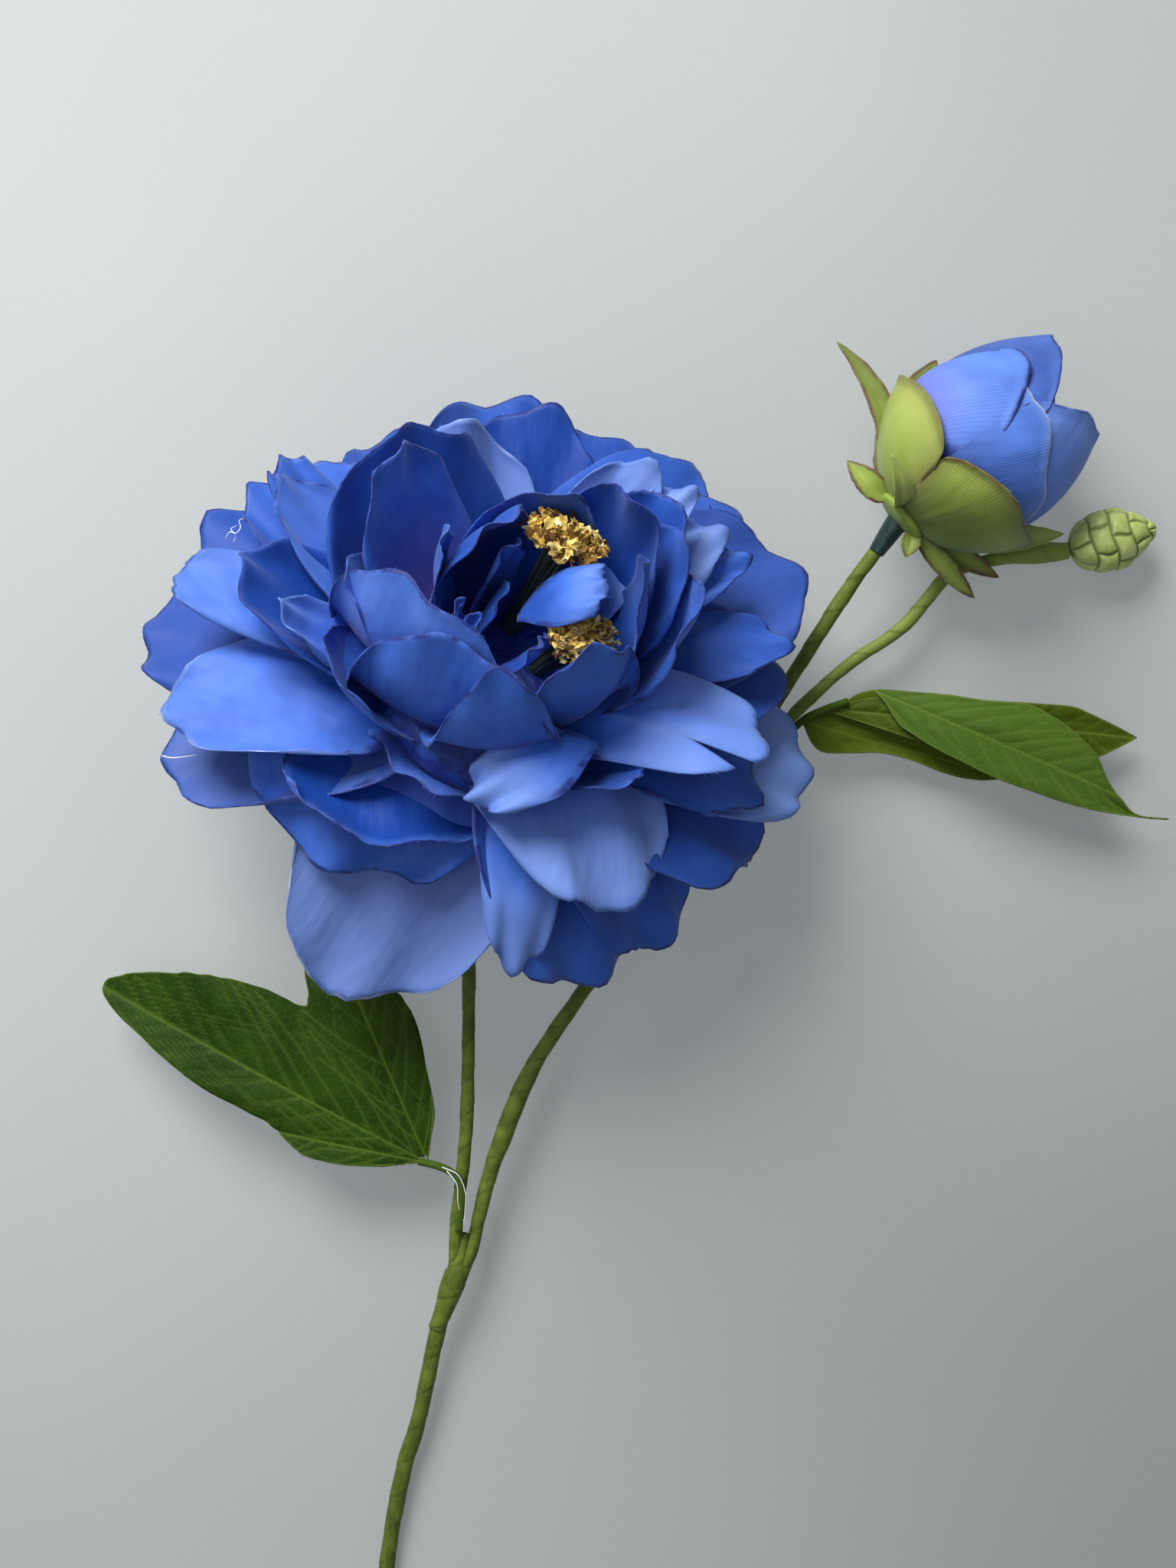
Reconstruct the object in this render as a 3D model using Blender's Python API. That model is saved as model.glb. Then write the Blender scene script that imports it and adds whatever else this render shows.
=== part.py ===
"""An artificial peony spray, lying on its back on the surface: a blue fabric bloom, a bud that is half open,
a small closed bud, two plastic leaves and wire stems wrapped in green tape.

Lengths in the tables are millimetres. X runs to the right and Y up the spray, from the cut end of the stem to
the flowers; Z is the height above the surface. The tables count X and Y from the middle of the part that is
usually looked at, and ORIGIN moves that to the middle of the whole spray.
"""
import math
import random

import bpy
import bmesh
import numpy as np

MM = 0.001
ORIGIN = np.array([10.5, -132.3, 0.0])
SEED = 11
GRAINS = 13

FABRIC = 0.7
BUD_FABRIC = 1.0
SEPAL = 0.8
LEAF = 0.8
LEAF_ARCH = 3.0
LEAF_FALL = 6.0
GAP = 0.3
CLEARANCE = 0.4
FLOOR = 0.05

BLOOM_AXIS = np.array([0.321, 0.502, 0.803])
BLOOM_CENTRE = np.array([-19.0, 19.0, 38.0])
RECEPTACLE = 26.0
RECEPTACLE_FLATNESS = 0.40
RECEPTACLE_LIFT = 2.5

# Shares of a petal's width at its foot, of its length where it is widest and where its rim starts to wave
FOOT = 0.12
WIDEST = 0.72
RIM_START = 0.6
# How much narrower and how much flatter a petal is at its rim, how far its root is from the bloom's middle
RIM_DRAWN_IN = 0.1
RIM_CUP = 0.7
ROOT_RING = 3.0
# Rows and strands of a petal's grid, by the width from which they count
PETAL_GRIDS = ((40, 5, 4), (15, 4, 4), (0, 4, 3))

TRUNK_RADIUS = 1.95
WIRE_RADIUS = 0.8
BLOOM_BRANCH_RADIUS = 1.3
BUD_BRANCH_RADIUS = 1.4
SMALL_BRANCH_RADIUS = 1.1
STALK_RADIUS = 0.8
CALYX_DEPTH = 10.0
# Depth behind the bloom's middle, radius and lobe height of each ring of the calyx
CALYX_RINGS = ((5.4, 6.4, 1.8), (6.4, 7.4, 2.4), (8.0, 4.6, 0.6), (CALYX_DEPTH, 2.2, 0.0))
CALYX_LOBES = 5
COLLAR_DEPTH = 8.4
# Depth behind the bud's base and radius of each ring of the collar
COLLAR_RINGS = ((COLLAR_DEPTH, 1.7), (6.0, 2.1), (3.7, 2.2))

BUD_BASE = np.array([65.0, 55.6, 19.6])
BUD_AXIS = np.array([0.765, 0.642, 0.05])
BUD_LENGTH = 48.5
BUD_RADIUS = 17.6

SMALL_BUD_BASE = np.array([100.6, 48.9, 7.6])
SMALL_BUD_AXIS = np.array([0.969, 0.247, 0.0])
SMALL_BUD_LENGTH = 18.5
SMALL_BUD_RADIUS = 5.9
SMALL_BUD_GRID = (12, 24)
SCALE_RELIEF = 0.7
SCALE_ROWS = 4.4
SCALE_SPREAD = 60.0

# Name, tip, width, rise of the midrib towards the face, cup in degrees, then what is special about it
OUTER_PETALS = [
    ("front_left", (-51, -39, 33), 54, 5, 25, dict(top=0.45, skew=0.07)),
    ("left_low", (-82, 3, 38), 38, 4, 30, dict(top=0.45)),
    ("front_low", (-2, -39, 33), 44, 7, 50, {}),
    ("front_right_low", (14, -32, 33), 34, 5, 50, dict(phase=2.0)),
    ("right_low", (34, -13, 28), 40, 5, 30, dict(phase=3.0)),
    ("front_folded", (-14, -36, 42), 20, 8, -50, {}),
    ("right_far", (45, -2, 23), 34, 3, 15, dict(root=(8, 10, 36))),
    ("right_shaded", (33, -3, 38), 28, 5, 30, {}),
    ("right_lip", (25, -5, 44), 14, 3, 10, {}),
    ("right_high", (42, 43, 22), 44, 4, 40, {}),
    ("right_light", (40, 29, 36), 28, 8, -30, {}),
    ("right_dark", (38, 20, 31), 36, 8, 10, {}),
    ("right_small", (31, 44, 38), 16, 5, 30, {}),
    ("back_right", (21, 66, 12), 34, 4, 30, {}),
    ("back_right_low", (30, 56, 16), 32, 4, 30, {}),
    ("back_inner", (-8, 77, 22), 34, -6, 50, {}),
    ("back_low", (7, 72, 1), 36, 2, 40, {}),
    ("back_middle", (-15, 81, -2), 46, 3, 30, {}),
    ("back_light", (-26, 76, 32), 36, -6, 40, {}),
    ("back_left", (-40, 74, -1), 44, 2, 30, {}),
    ("left_back_low", (-55, 65, 22), 38, 2, 30, {}),
    ("left_blade", (-59, 58, 48), 22, -4, 80, {}),
    ("left_strip", (-61, 64, 38), 14, -3, 60, dict(square=4)),
    ("left_ragged", (-67, 58, 31), 26, 0, 30, {}),
    ("left_dark_back", (-77, 52, 20), 36, 2, 30, {}),
    ("left_long", (-80, 41, 48), 22, 2, 40, dict(square=3, notch=(0.1, 0.05, 0.3))),
    ("left_far", (-88, 32, 28), 46, 4, 30, {}),
    ("left_under", (-66, -7, 44), 52, 4, 20, {}),
]
MIDDLE_PETALS = [
    ("left_dark", (-66, 42, 58), 30, -4, 90, {}),
    ("left_curled", (-57, 29, 64), 14, -4, 60, {}),
    ("left_light", (-79, 9, 50), 38, 7, -60, {}),
    ("front_dark", (-46, -6, 52), 52, -2, 30, dict(ruffle=0.04)),
    ("front_curled", (-33, 1, 61), 28, -6, 40, {}),
    ("front_tongue", (-10, -3, 65), 34, 7, -60, {}),
    ("front_fan", (6, -23, 51), 42, 8, -50, {}),
    ("right_spoon", (33, 6, 54), 28, 6, -50, {}),
    ("right_hollow", (7, 0, 60), 24, -6, 90, {}),
    ("right_back_light", (26, 49, 42), 20, 3, 30, {}),
    ("right_back_spoon", (20, 56, 50), 14, 3, 20, {}),
    ("right_back_strip", (13, 59, 48), 20, 0, 30, {}),
    ("right_back_dark", (17, 52, 58), 26, -4, 60, {}),
]
INNER_PETALS = [
    ("tall_back", (-36, 65, 54), 46, -8, 60, dict(square=2.8)),
    ("tall_front", (-35, 62, 64), 28, -6, 90, {}),
    ("tall_folded", (-26, 46, 70), 10, -4, 60, {}),
    ("left_inner_light", (-44, 40, 66), 22, -3, 40, {}),
    ("cup_left", (-34, 35, 78), 38, -15, 90, dict(face=(0.55, 0.8, 0.1), square=2.8)),
    ("cup_front_left", (-27, 24, 79), 44, -15, 80, dict(face=(0.25, 1, 0.1), square=2.8)),
    ("cup_front", (-15, 20, 78), 26, -14, 70, dict(face=(0, 1, 0.1))),
    ("cup_front_right", (0, 25, 75), 34, -14, 90, dict(face=(-0.3, 1, 0.1), square=2.8)),
    ("cup_right", (10, 39, 72), 24, -11, 90, {}),
    ("cup_right_outer", (20, 36, 66), 26, -10, 90, {}),
    ("cup_back_right", (17, 45, 64), 26, -8, 90, {}),
    ("cup_back_dark", (10, 52, 66), 30, -9, 90, {}),
    ("cup_back", (-5, 54, 62), 30, -7, 70, {}),
    ("cup_back_left", (-14, 49, 70), 26, -9, 90, {}),
    ("heart_left", (-13, 44, 66), 12, -3, 60, {}),
    ("heart_tongue", (4, 38, 72), 17, 3, -30, {}),
    ("heart_bud", (-20, 30, 72), 10, -4, 60, {}),
]

# Foot and head of the stalk bundle under each stamen tuft, and half the tuft's length and breadth
STAMENS = {
    "upper": ((-17.5, 26.0, 42.5), (-5.5, 43.5, 58.0), 7.6, 5.0),
    "lower": ((-12.5, 20.5, 43.5), (-1.5, 27.0, 59.5), 6.4, 4.2),
}
STALK_FLARE = ((0.0, 1.7), (0.3, 1.9), (0.65, 2.5), (1.0, 3.2))
TUFT_DEPTH = 2.0
TUFT_SIDE = (1.0, 0.1, 0.0)
TUFT_ROOM = 1.0
GRAIN = 1.1
GOLDEN_ANGLE = math.radians(137.5)

TRUNK = [(-52, -352, 2.0), (-52, -310, 2.0), (-50, -260, 2.0), (-46, -205, 2.1), (-42.6, -166, 2.6),
         (-39, -145, 3.6), (-35.6, -133.6, 4.6), (-31.4, -114, 6.6), (-28, -102, 8.2)]
BLOOM_BRANCH = [(-27.8, -101.2, 8.4), (-27.6, -96, 9.3), (-27.2, -89, 10.3), (-26, -80, 11.6),
                (-25, -68, 13.3), (-24.5, -48, 16), (-24.4, -26, 18), (-24.6, -10, 19.4), (-24.4, 1, 21.2)]
BUD_BRANCH = [(-24.6, -100.6, 8.6), (-24, -96, 9), (-22.6, -89.7, 9.6), (-20.8, -82.5, 10),
              (-18.6, -75.8, 10.4), (-11.4, -58.6, 11), (1.6, -39.1, 11.5), (15, -19, 12), (28, 0.6, 12.8), (38.8, 17.8, 13.6),
              (48.3, 33.9, 15.0), (54, 43, 17.0)]
SMALL_BRANCH = [(31.2, 0.6, 11.6), (36.4, 7, 10.6), (42.5, 14.2, 10), (53.9, 24.6, 9.5), (65.5, 32.7, 9),
                (74.5, 43.0, 8.6), (79, 45.4, 8.3), (88, 47.5, 7.9), (100.3, 48.8, 7.6)]

LEFT_LEAF_STALK = [(-29.9, -93, 11.4), (-29.4, -88, 12.8), (-29.4, -83, 13.8), (-31.5, -79.5, 14),
                   (-35, -77.8, 13.8)]
RIGHT_LEAF_STALK = [(33.6, -2.6, 10.4), (37.2, 3.4, 8.6), (41, 9.4, 8.4), (45, 13.4, 8.8), (49, 15.4, 9.6),
                    (54, 17.2, 10.8)]
# The left leaf is one sheet of three lobes: direction in degrees and reach of its outline from its foot
LEFT_LEAF_FOOT = (-33.0, -78.0, 13.8)
LEFT_LEAF_OUTLINE = [(82, 10), (90, 18.5), (95, 30), (101, 38), (108, 52), (113, 57), (119, 53), (127, 41),
                     (134, 51), (143, 65), (152, 77), (157, 63), (161, 50), (165, 35), (170, 30), (177, 24),
                     (184, 9)]
LEFT_LEAF_RIBS = (113, 152, 168)
# Foot, tip, width, rise, cup and where each lobe of the right leaf is widest
RIGHT_LEAF = [
    ((50, 17.0, 10.5), (121.6, -7.4, 7), 18, 8, -46, 0.50),
    ((45, 13.0, 8.3), (88, 1.5, 4), 20, 1, 30, 0.42),
    ((50, 15.6, 9.2), (113.7, 9.8, 6), 15, 4, -12, 0.60),
]

# Azimuth, spread in degrees, start and end along the egg, lift of the sheet above the egg
BUD_PETALS = [
    (105, 130, 0.1, 0.90, 0.3), (-142, 130, 0.1, 0.88, 0.3), (165, 110, 0.1, 0.9, 0.9),
    (-66, 124, 0.1, 0.9, 0.8), (-14, 108, 0.1, 0.78, 1.2), (42, 112, 0.1, 0.84, 1.8),
]
BUD_SEPALS = [
    (74, 112, -0.02, 0.40, 3.7), (-55, 112, -0.02, 0.46, 3.4), (-150, 104, -0.02, 0.38, 3.3),
    (155, 60, -0.02, 0.42, 3.3),
]
# Tip, width, rise of the narrow bracts at the bud's base
BRACTS = [
    ((49, 87.5, 22), 5.5, 1), ((55.5, 63.5, 22), 5, 2),
    ((80, 39.5, 12), 3.6, 1), ((82.5, 41, 11), 5, 1), ((64.5, 46, 21), 3.4, 1),
]

BLUE = (0.115, 0.215, 0.68)
BUD_BLUE = (0.16, 0.28, 0.78)
STEM_GREEN = (0.085, 0.125, 0.03)
LEAF_GREEN = (0.022, 0.055, 0.006)
SEPAL_GREEN = (0.30, 0.40, 0.07)
SMALL_BUD_GREEN = (0.26, 0.36, 0.13)
STALK_GREEN = (0.018, 0.035, 0.03)
TEAL = (0.01, 0.05, 0.045)
GOLD = (0.55, 0.36, 0.09)
STEEL = (0.45, 0.45, 0.45)


def unit(vector):
    vector = np.asarray(vector, float)
    return vector / np.linalg.norm(vector)


def across(direction, guide):
    """The part of guide that stands square to direction, as a unit vector."""
    guide = np.asarray(guide, float)
    return unit(guide - direction * (guide @ direction))


def clear_scene():
    for thing in list(bpy.data.objects):
        bpy.data.objects.remove(thing, do_unlink=True)


def material(name, colour, roughness, metallic=0.0):
    made = bpy.data.materials.new(name)
    made.use_nodes = True
    shader = made.node_tree.nodes["Principled BSDF"]
    shader.inputs["Base Color"].default_value = (*colour, 1.0)
    shader.inputs["Roughness"].default_value = roughness
    shader.inputs["Metallic"].default_value = metallic
    return made


def mesh_object(name, points, faces, collection=None):
    """An object whose points are given in millimetres in the spray's own frame."""
    mesh = bpy.data.meshes.new(name)
    placed = (np.asarray(points, float) - ORIGIN) * MM
    mesh.from_pydata([tuple(p) for p in placed], [], faces)
    mesh.validate()
    thing = bpy.data.objects.new(name, mesh)
    (collection or bpy.context.scene.collection).objects.link(thing)
    return thing


def sheet_object(name, grid, thickness, collection):
    """A thin closed sheet round a grid of points, split the same way on both faces."""
    rows, columns = grid.shape[0], grid.shape[1]
    faces = []
    for i in range(rows - 1):
        for j in range(columns - 1):
            a = i * columns + j
            b, c, d = a + 1, a + columns + 1, a + columns
            faces += [(a, d, c), (a, c, b)]
    thing = mesh_object(name, grid.reshape(-1, 3), faces, collection)
    solid = thing.modifiers.new("Thickness", "SOLIDIFY")
    solid.thickness = thickness * MM
    solid.offset = 0.0
    return thing


def rings_object(name, rings, collection=None, tips=(None, None)):
    """A closed skin over rings of points, capped flat or drawn to a point at either end."""
    sides = len(rings[0])
    points = [p for ring in rings for p in ring]
    faces = []
    for i in range(len(rings) - 1):
        for j in range(sides):
            a, b = i * sides + j, i * sides + (j + 1) % sides
            faces.append((a, b, b + sides, a + sides))
    last = (len(rings) - 1) * sides
    if tips[0] is None:
        faces.append(tuple(reversed(range(sides))))
    else:
        points.append(tips[0])
        faces += [(len(points) - 1, (j + 1) % sides, j) for j in range(sides)]
    if tips[1] is None:
        faces.append(tuple(range(last, last + sides)))
    else:
        points.append(tips[1])
        faces += [(len(points) - 1, last + j, last + (j + 1) % sides) for j in range(sides)]
    thing = mesh_object(name, points, faces, collection)
    face_out(thing.data)
    return thing


def face_out(mesh):
    """Turns every face of a closed mesh outwards."""
    work = bmesh.new()
    work.from_mesh(mesh)
    bmesh.ops.recalc_face_normals(work, faces=work.faces)
    if work.calc_volume(signed=True) < 0:
        bmesh.ops.reverse_faces(work, faces=work.faces)
    work.to_mesh(mesh)
    work.free()


def smooth_route(points, step):
    """A Catmull-Rom curve through the points, read every step millimetres or so."""
    points = np.asarray(points, float)
    padded = np.vstack([2 * points[0] - points[1], points, 2 * points[-1] - points[-2]])
    route = []
    for k in range(1, len(padded) - 2):
        p0, p1, p2, p3 = padded[k - 1:k + 3]
        count = max(1, round(np.linalg.norm(p2 - p1) / step))
        for t in np.arange(count) / count:
            route.append(0.5 * (2 * p1 + (p2 - p0) * t + (2 * p0 - 5 * p1 + 4 * p2 - p3) * t ** 2
                                + (3 * p1 - p0 - 3 * p2 + p3) * t ** 3))
    route.append(points[-1])
    return np.array(route)


def route_rings(route, radii, sides):
    """Rings of points square to a route, turned as little as possible from one to the next."""
    directions = np.gradient(route, axis=0)
    side = across(unit(directions[0]), (0.0, 0.0, 1.0))
    rings = []
    for place, direction, radius in zip(route, directions, radii):
        direction = unit(direction)
        side = across(direction, side)
        other = np.cross(direction, side)
        angles = np.arange(sides) * 2 * math.pi / sides
        rings.append([place + radius * (math.cos(a) * side + math.sin(a) * other) for a in angles])
    return rings


def tube(name, points, radius, step=16.0, sides=8, end_radius=None, collection=None):
    route = smooth_route(points, step)
    radii = np.linspace(radius, end_radius or radius, len(route))
    return rings_object(name, route_rings(route, radii, sides), collection)


def fuse(name, shapes, look, smooth=True):
    """Joins the shapes of a collection into one solid, fills what they seal in and drops loose scraps."""
    base = bpy.data.objects.new(name, shapes.objects[0].data.copy())
    bpy.context.scene.collection.objects.link(base)
    for modifier in shapes.objects[0].modifiers:
        copied = base.modifiers.new(modifier.name, modifier.type)
        copied.thickness = modifier.thickness
        copied.offset = modifier.offset
    first = shapes.objects[0]
    shapes.objects.unlink(first)
    union = base.modifiers.new("Union", "BOOLEAN")
    union.operation = "UNION"
    union.operand_type = "COLLECTION"
    union.collection = shapes
    union.solver = "MANIFOLD"
    apply_modifiers(base)
    for spare in [first] + list(shapes.objects):
        bpy.data.objects.remove(spare, do_unlink=True)
    bpy.data.collections.remove(shapes)
    keep_outer_skin(base.data)
    base.data.materials.clear()
    base.data.materials.append(look)
    if smooth:
        base.data.shade_smooth()
    return base


def apply_modifiers(thing):
    graph = bpy.context.evaluated_depsgraph_get()
    graph.update()
    made = bpy.data.meshes.new_from_object(thing.evaluated_get(graph))
    thing.modifiers.clear()
    thing.data = made
    made.name = thing.name


def keep_outer_skin(mesh):
    """Keeps the one connected skin with the largest volume."""
    work = bmesh.new()
    work.from_mesh(mesh)
    bmesh.ops.triangulate(work, faces=work.faces)
    left = set(work.faces)
    skins = []
    while left:
        first = left.pop()
        skin = {first}
        edge_of_search = [first]
        while edge_of_search:
            face = edge_of_search.pop()
            for edge in face.edges:
                for other in edge.link_faces:
                    if other in left:
                        left.remove(other)
                        skin.add(other)
                        edge_of_search.append(other)
        skins.append(skin)

    def volume(skin):
        return sum(f.verts[0].co.dot(f.verts[1].co.cross(f.verts[2].co)) for f in skin)

    skins.sort(key=volume)
    spare = [face for skin in skins[:-1] for face in skin]
    bmesh.ops.delete(work, geom=spare, context="FACES")
    work.to_mesh(mesh)
    work.free()


def cut(thing, cutter):
    """Takes the room of the cutter out of a solid."""
    away = thing.modifiers.new("Clearance", "BOOLEAN")
    away.operation = "DIFFERENCE"
    away.object = cutter
    away.solver = "MANIFOLD"
    apply_modifiers(thing)
    bpy.data.objects.remove(cutter, do_unlink=True)
    keep_outer_skin(thing.data)


def new_collection(name):
    made = bpy.data.collections.new(name)
    bpy.context.scene.collection.children.link(made)
    return made


def petal_grid(tip, width, rise, cup, rows, columns, root=None, face=BLOOM_AXIS, top=0.42, square=2.2,
               skew=0.0, ruffle=0.02, waves=7.0, phase=1.0, notch=None, wave=0.8):
    """Points of one petal, from its root at the receptacle to its rim.

    The midrib is a curve that rises from the straight line to the tip, the strands fan out from it to a round
    rim with small ruffles, and the petal bends across its width by cup degrees.
    """
    tip = np.array(tip, float)
    if root is None:
        outwards = across(BLOOM_AXIS, tip - BLOOM_CENTRE)
        root = BLOOM_CENTRE + outwards * ROOT_RING
    root = np.array(root, float)
    chord = unit(tip - root)
    normal = across(chord, face)
    middle = (root + tip) / 2 + normal * 2 * rise
    strands = np.linspace(-1, 1, columns)
    strands = np.sin(strands * math.pi / 2) * 0.35 + strands * 0.65
    grid = np.zeros((rows, columns, 3))
    for j, v in enumerate(strands):
        reach = 1 - top * (1 - math.sqrt(max(0.0, 1 - abs(v) ** square)))
        reach *= 1 + skew * v
        reach *= 1 + ruffle * math.sin(waves * v + phase)
        if notch:
            reach *= 1 - notch[1] * math.exp(-((v - notch[0]) / notch[2]) ** 2)
        for i, u in enumerate(np.linspace(0, 1, rows)):
            t = u * reach
            place = (1 - t) ** 2 * root + 2 * t * (1 - t) * middle + t ** 2 * tip
            along = unit(2 * (1 - t) * (middle - root) + 2 * t * (tip - middle))
            up = across(along, normal)
            side = np.cross(along, up)
            spread = FOOT + (1 - FOOT) * math.sin(min(u / WIDEST, 1.0) * math.pi / 2) ** 1.2
            if u > WIDEST:
                spread *= 1 - RIM_DRAWN_IN * ((u - WIDEST) / (1 - WIDEST)) ** 2
            half = width / 2 * v * spread
            bend = math.radians(cup * (1 - u) + cup * RIM_CUP * u) / width
            edge = max(0.0, (u - RIM_START) / (1 - RIM_START)) ** 2
            lift = (1 - math.cos(bend * half)) / bend
            lift += wave * math.sin(waves * v * 1.3 + phase * 2) * edge
            grid[i, j] = place + side * math.sin(bend * half) / bend + up * lift
    grid[:, :, 2] = np.maximum(grid[:, :, 2], FLOOR + FABRIC / 2)
    return grid


def ball(name, centre, radius, collection, axis=(0, 0, 1), stretch=1.0, levels=8, sides=10):
    """A closed round body, stretched along its axis."""
    axis = unit(axis)
    side = across(axis, (0.31, -0.9, 0.12))
    other = np.cross(axis, side)
    centre = np.asarray(centre, float)
    rings = []
    for k in range(1, levels):
        polar = math.pi * k / levels
        at = centre - axis * radius * stretch * math.cos(polar)
        wide = radius * math.sin(polar)
        rings.append([at + wide * (math.cos(a) * side + math.sin(a) * other)
                      for a in np.arange(sides) * 2 * math.pi / sides])
    ends = (centre - axis * radius * stretch, centre + axis * radius * stretch)
    return rings_object(name, rings, collection, ends)


def petals(looks):
    """The bloom: three layers of fabric petals sunk into one receptacle."""
    shapes = new_collection("petals")
    seat = BLOOM_CENTRE + BLOOM_AXIS * RECEPTACLE_LIFT
    ball("receptacle", seat, RECEPTACLE, shapes, BLOOM_AXIS, RECEPTACLE_FLATNESS)
    for name, tip, width, rise, cup, more in OUTER_PETALS + MIDDLE_PETALS + INNER_PETALS:
        rows, columns = next(grid[1:] for grid in PETAL_GRIDS if width >= grid[0])
        sheet_object(name, petal_grid(tip, width, rise, cup, rows, columns, **more), FABRIC, shapes)
    bloom = fuse("bloom_petals", shapes, looks["petal"])
    for foot, head, half_length, half_breadth in STAMENS.values():
        cut(bloom, stalk_solid("room", foot, head, CLEARANCE))
        room = GRAIN + TUFT_ROOM
        cut(bloom, tuft_body("room", foot, head, half_length + room, half_breadth + room,
                             TUFT_DEPTH + room + CLEARANCE))
    cut(bloom, calyx_solid("room", 2 * CLEARANCE))


def stalk_solid(name, foot, head, extra=0.0):
    """A bundle of stamen stalks, flaring from its foot to its head."""
    foot, head = np.array(foot, float), np.array(head, float)
    along = unit(head - foot)
    route = np.array([foot - along * extra + (head - foot) * share for share, _ in STALK_FLARE])
    rings = route_rings(route, [radius + extra for _, radius in STALK_FLARE], 12)
    return rings_object(name, rings)


def tuft_body(name, foot, head, half_length, half_breadth, half_depth, collection=None):
    """The cushion shape of a tuft, lying across the head of its stalks."""
    foot, head = np.array(foot, float), np.array(head, float)
    along = unit(head - foot)
    side = across(along, TUFT_SIDE)
    other = np.cross(along, side)
    centre = head + along * (CLEARANCE + TUFT_DEPTH)
    rings = []
    for polar in np.radians((30, 65, 90, 115, 150)):
        at = centre - along * half_depth * math.cos(polar)
        wide = math.sin(polar)
        rings.append([at + wide * (half_length * math.cos(a) * side + half_breadth * math.sin(a) * other)
                      for a in np.radians(range(0, 360, 36))])
    ends = (centre - along * half_depth, centre + along * half_depth)
    return rings_object(name, rings, collection, ends)


def stamens(looks):
    """Two dark stalk bundles, each with a crumpled golden tuft on its head."""
    draw = random.Random(SEED)
    for name, (foot, head, half_length, half_breadth) in STAMENS.items():
        stalk = stalk_solid("stamen_stalks_" + name, foot, head)
        stalk.data.materials.append(looks["stalk"])
        foot, head = np.array(foot), np.array(head)
        along = unit(head - foot)
        side = across(along, TUFT_SIDE)
        other = np.cross(along, side)
        shapes = new_collection("tuft")
        tuft_body("cushion", foot, head, half_length, half_breadth, TUFT_DEPTH, shapes)
        for k in range(GRAINS):
            turn = k * GOLDEN_ANGLE
            reach = math.sqrt((k + 0.5) / GRAINS)
            height = TUFT_DEPTH * (1.9 - 0.6 * reach ** 2) + draw.uniform(-0.3, 0.4)
            spot = head + along * (CLEARANCE + height)
            spot = spot + side * reach * half_length * math.cos(turn)
            spot = spot + other * reach * half_breadth * math.sin(turn)
            lean = unit(along + np.array([draw.uniform(-0.6, 0.6) for _ in range(3)]))
            ball("grain", spot, GRAIN * draw.uniform(0.8, 1.2), shapes, lean, 1.4, 3, 4)
        fuse("anthers_" + name, shapes, looks["gold"], smooth=False)


def calyx_solid(name, extra=0.0):
    """The green cup behind the bloom, with five short lobes, down to where the stem enters it."""
    rings = []
    side = across(BLOOM_AXIS, (0.0, 1.0, 0.0))
    other = np.cross(BLOOM_AXIS, side)
    for k, (depth, radius, lobe) in enumerate(CALYX_RINGS):
        past_end = -extra if k == 0 else extra if k == len(CALYX_RINGS) - 1 else 0.0
        at = BLOOM_CENTRE - BLOOM_AXIS * (depth + past_end)
        ring = []
        for a in np.radians(range(0, 360, 18)):
            wide = radius + extra + lobe * math.cos(CALYX_LOBES * a)
            ring.append(at + wide * (math.cos(a) * side + math.sin(a) * other))
        rings.append(ring)
    return rings_object(name, rings)


def calyx(looks):
    cup = calyx_solid("bloom_calyx")
    cup.data.materials.append(looks["sepal"])


def stems(looks):
    """The taped stems: a trunk round its steel wire, and a branch to each flower."""
    route = smooth_route(TRUNK, 24.0)
    sides = 8
    outer = route_rings(route, [TRUNK_RADIUS] * len(route), sides)
    inner = route_rings(route, [WIRE_RADIUS + GAP] * len(route), sides)
    points = [p for ring in outer + inner for p in ring]
    faces = []
    bore = len(route) * sides
    for i in range(len(route) - 1):
        for j in range(sides):
            a, b = i * sides + j, i * sides + (j + 1) % sides
            faces.append((a, b, b + sides, a + sides))
            faces.append((bore + b, bore + a, bore + a + sides, bore + b + sides))
    last = (len(route) - 1) * sides
    for j in range(sides):
        k = (j + 1) % sides
        faces.append((k, j, bore + j, bore + k))
        faces.append((last + j, last + k, bore + last + k, bore + last + j))
    trunk = mesh_object("main_stem", points, faces)
    face_out(trunk.data)
    wire = rings_object("stem_wire", route_rings(route, [WIRE_RADIUS] * len(route), 6))
    bloom_end = [tuple(BLOOM_CENTRE - BLOOM_AXIS * (CALYX_DEPTH + d)) for d in (4.5, GAP)]
    bud_end = [tuple(BUD_BASE - unit(BUD_AXIS) * (COLLAR_DEPTH + d)) for d in (3.5, GAP)]
    parts = [
        (trunk, "stem"), (wire, "steel"),
        (tube("bloom_branch", BLOOM_BRANCH + bloom_end, BLOOM_BRANCH_RADIUS), "stem"),
        (tube("bud_branch", BUD_BRANCH + bud_end, BUD_BRANCH_RADIUS), "stem"),
        (tube("small_bud_branch", SMALL_BRANCH, SMALL_BRANCH_RADIUS, end_radius=1.5), "stem"),
    ]
    for thing, look in parts:
        thing.data.materials.append(looks[look])
        thing.data.shade_smooth()


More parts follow.
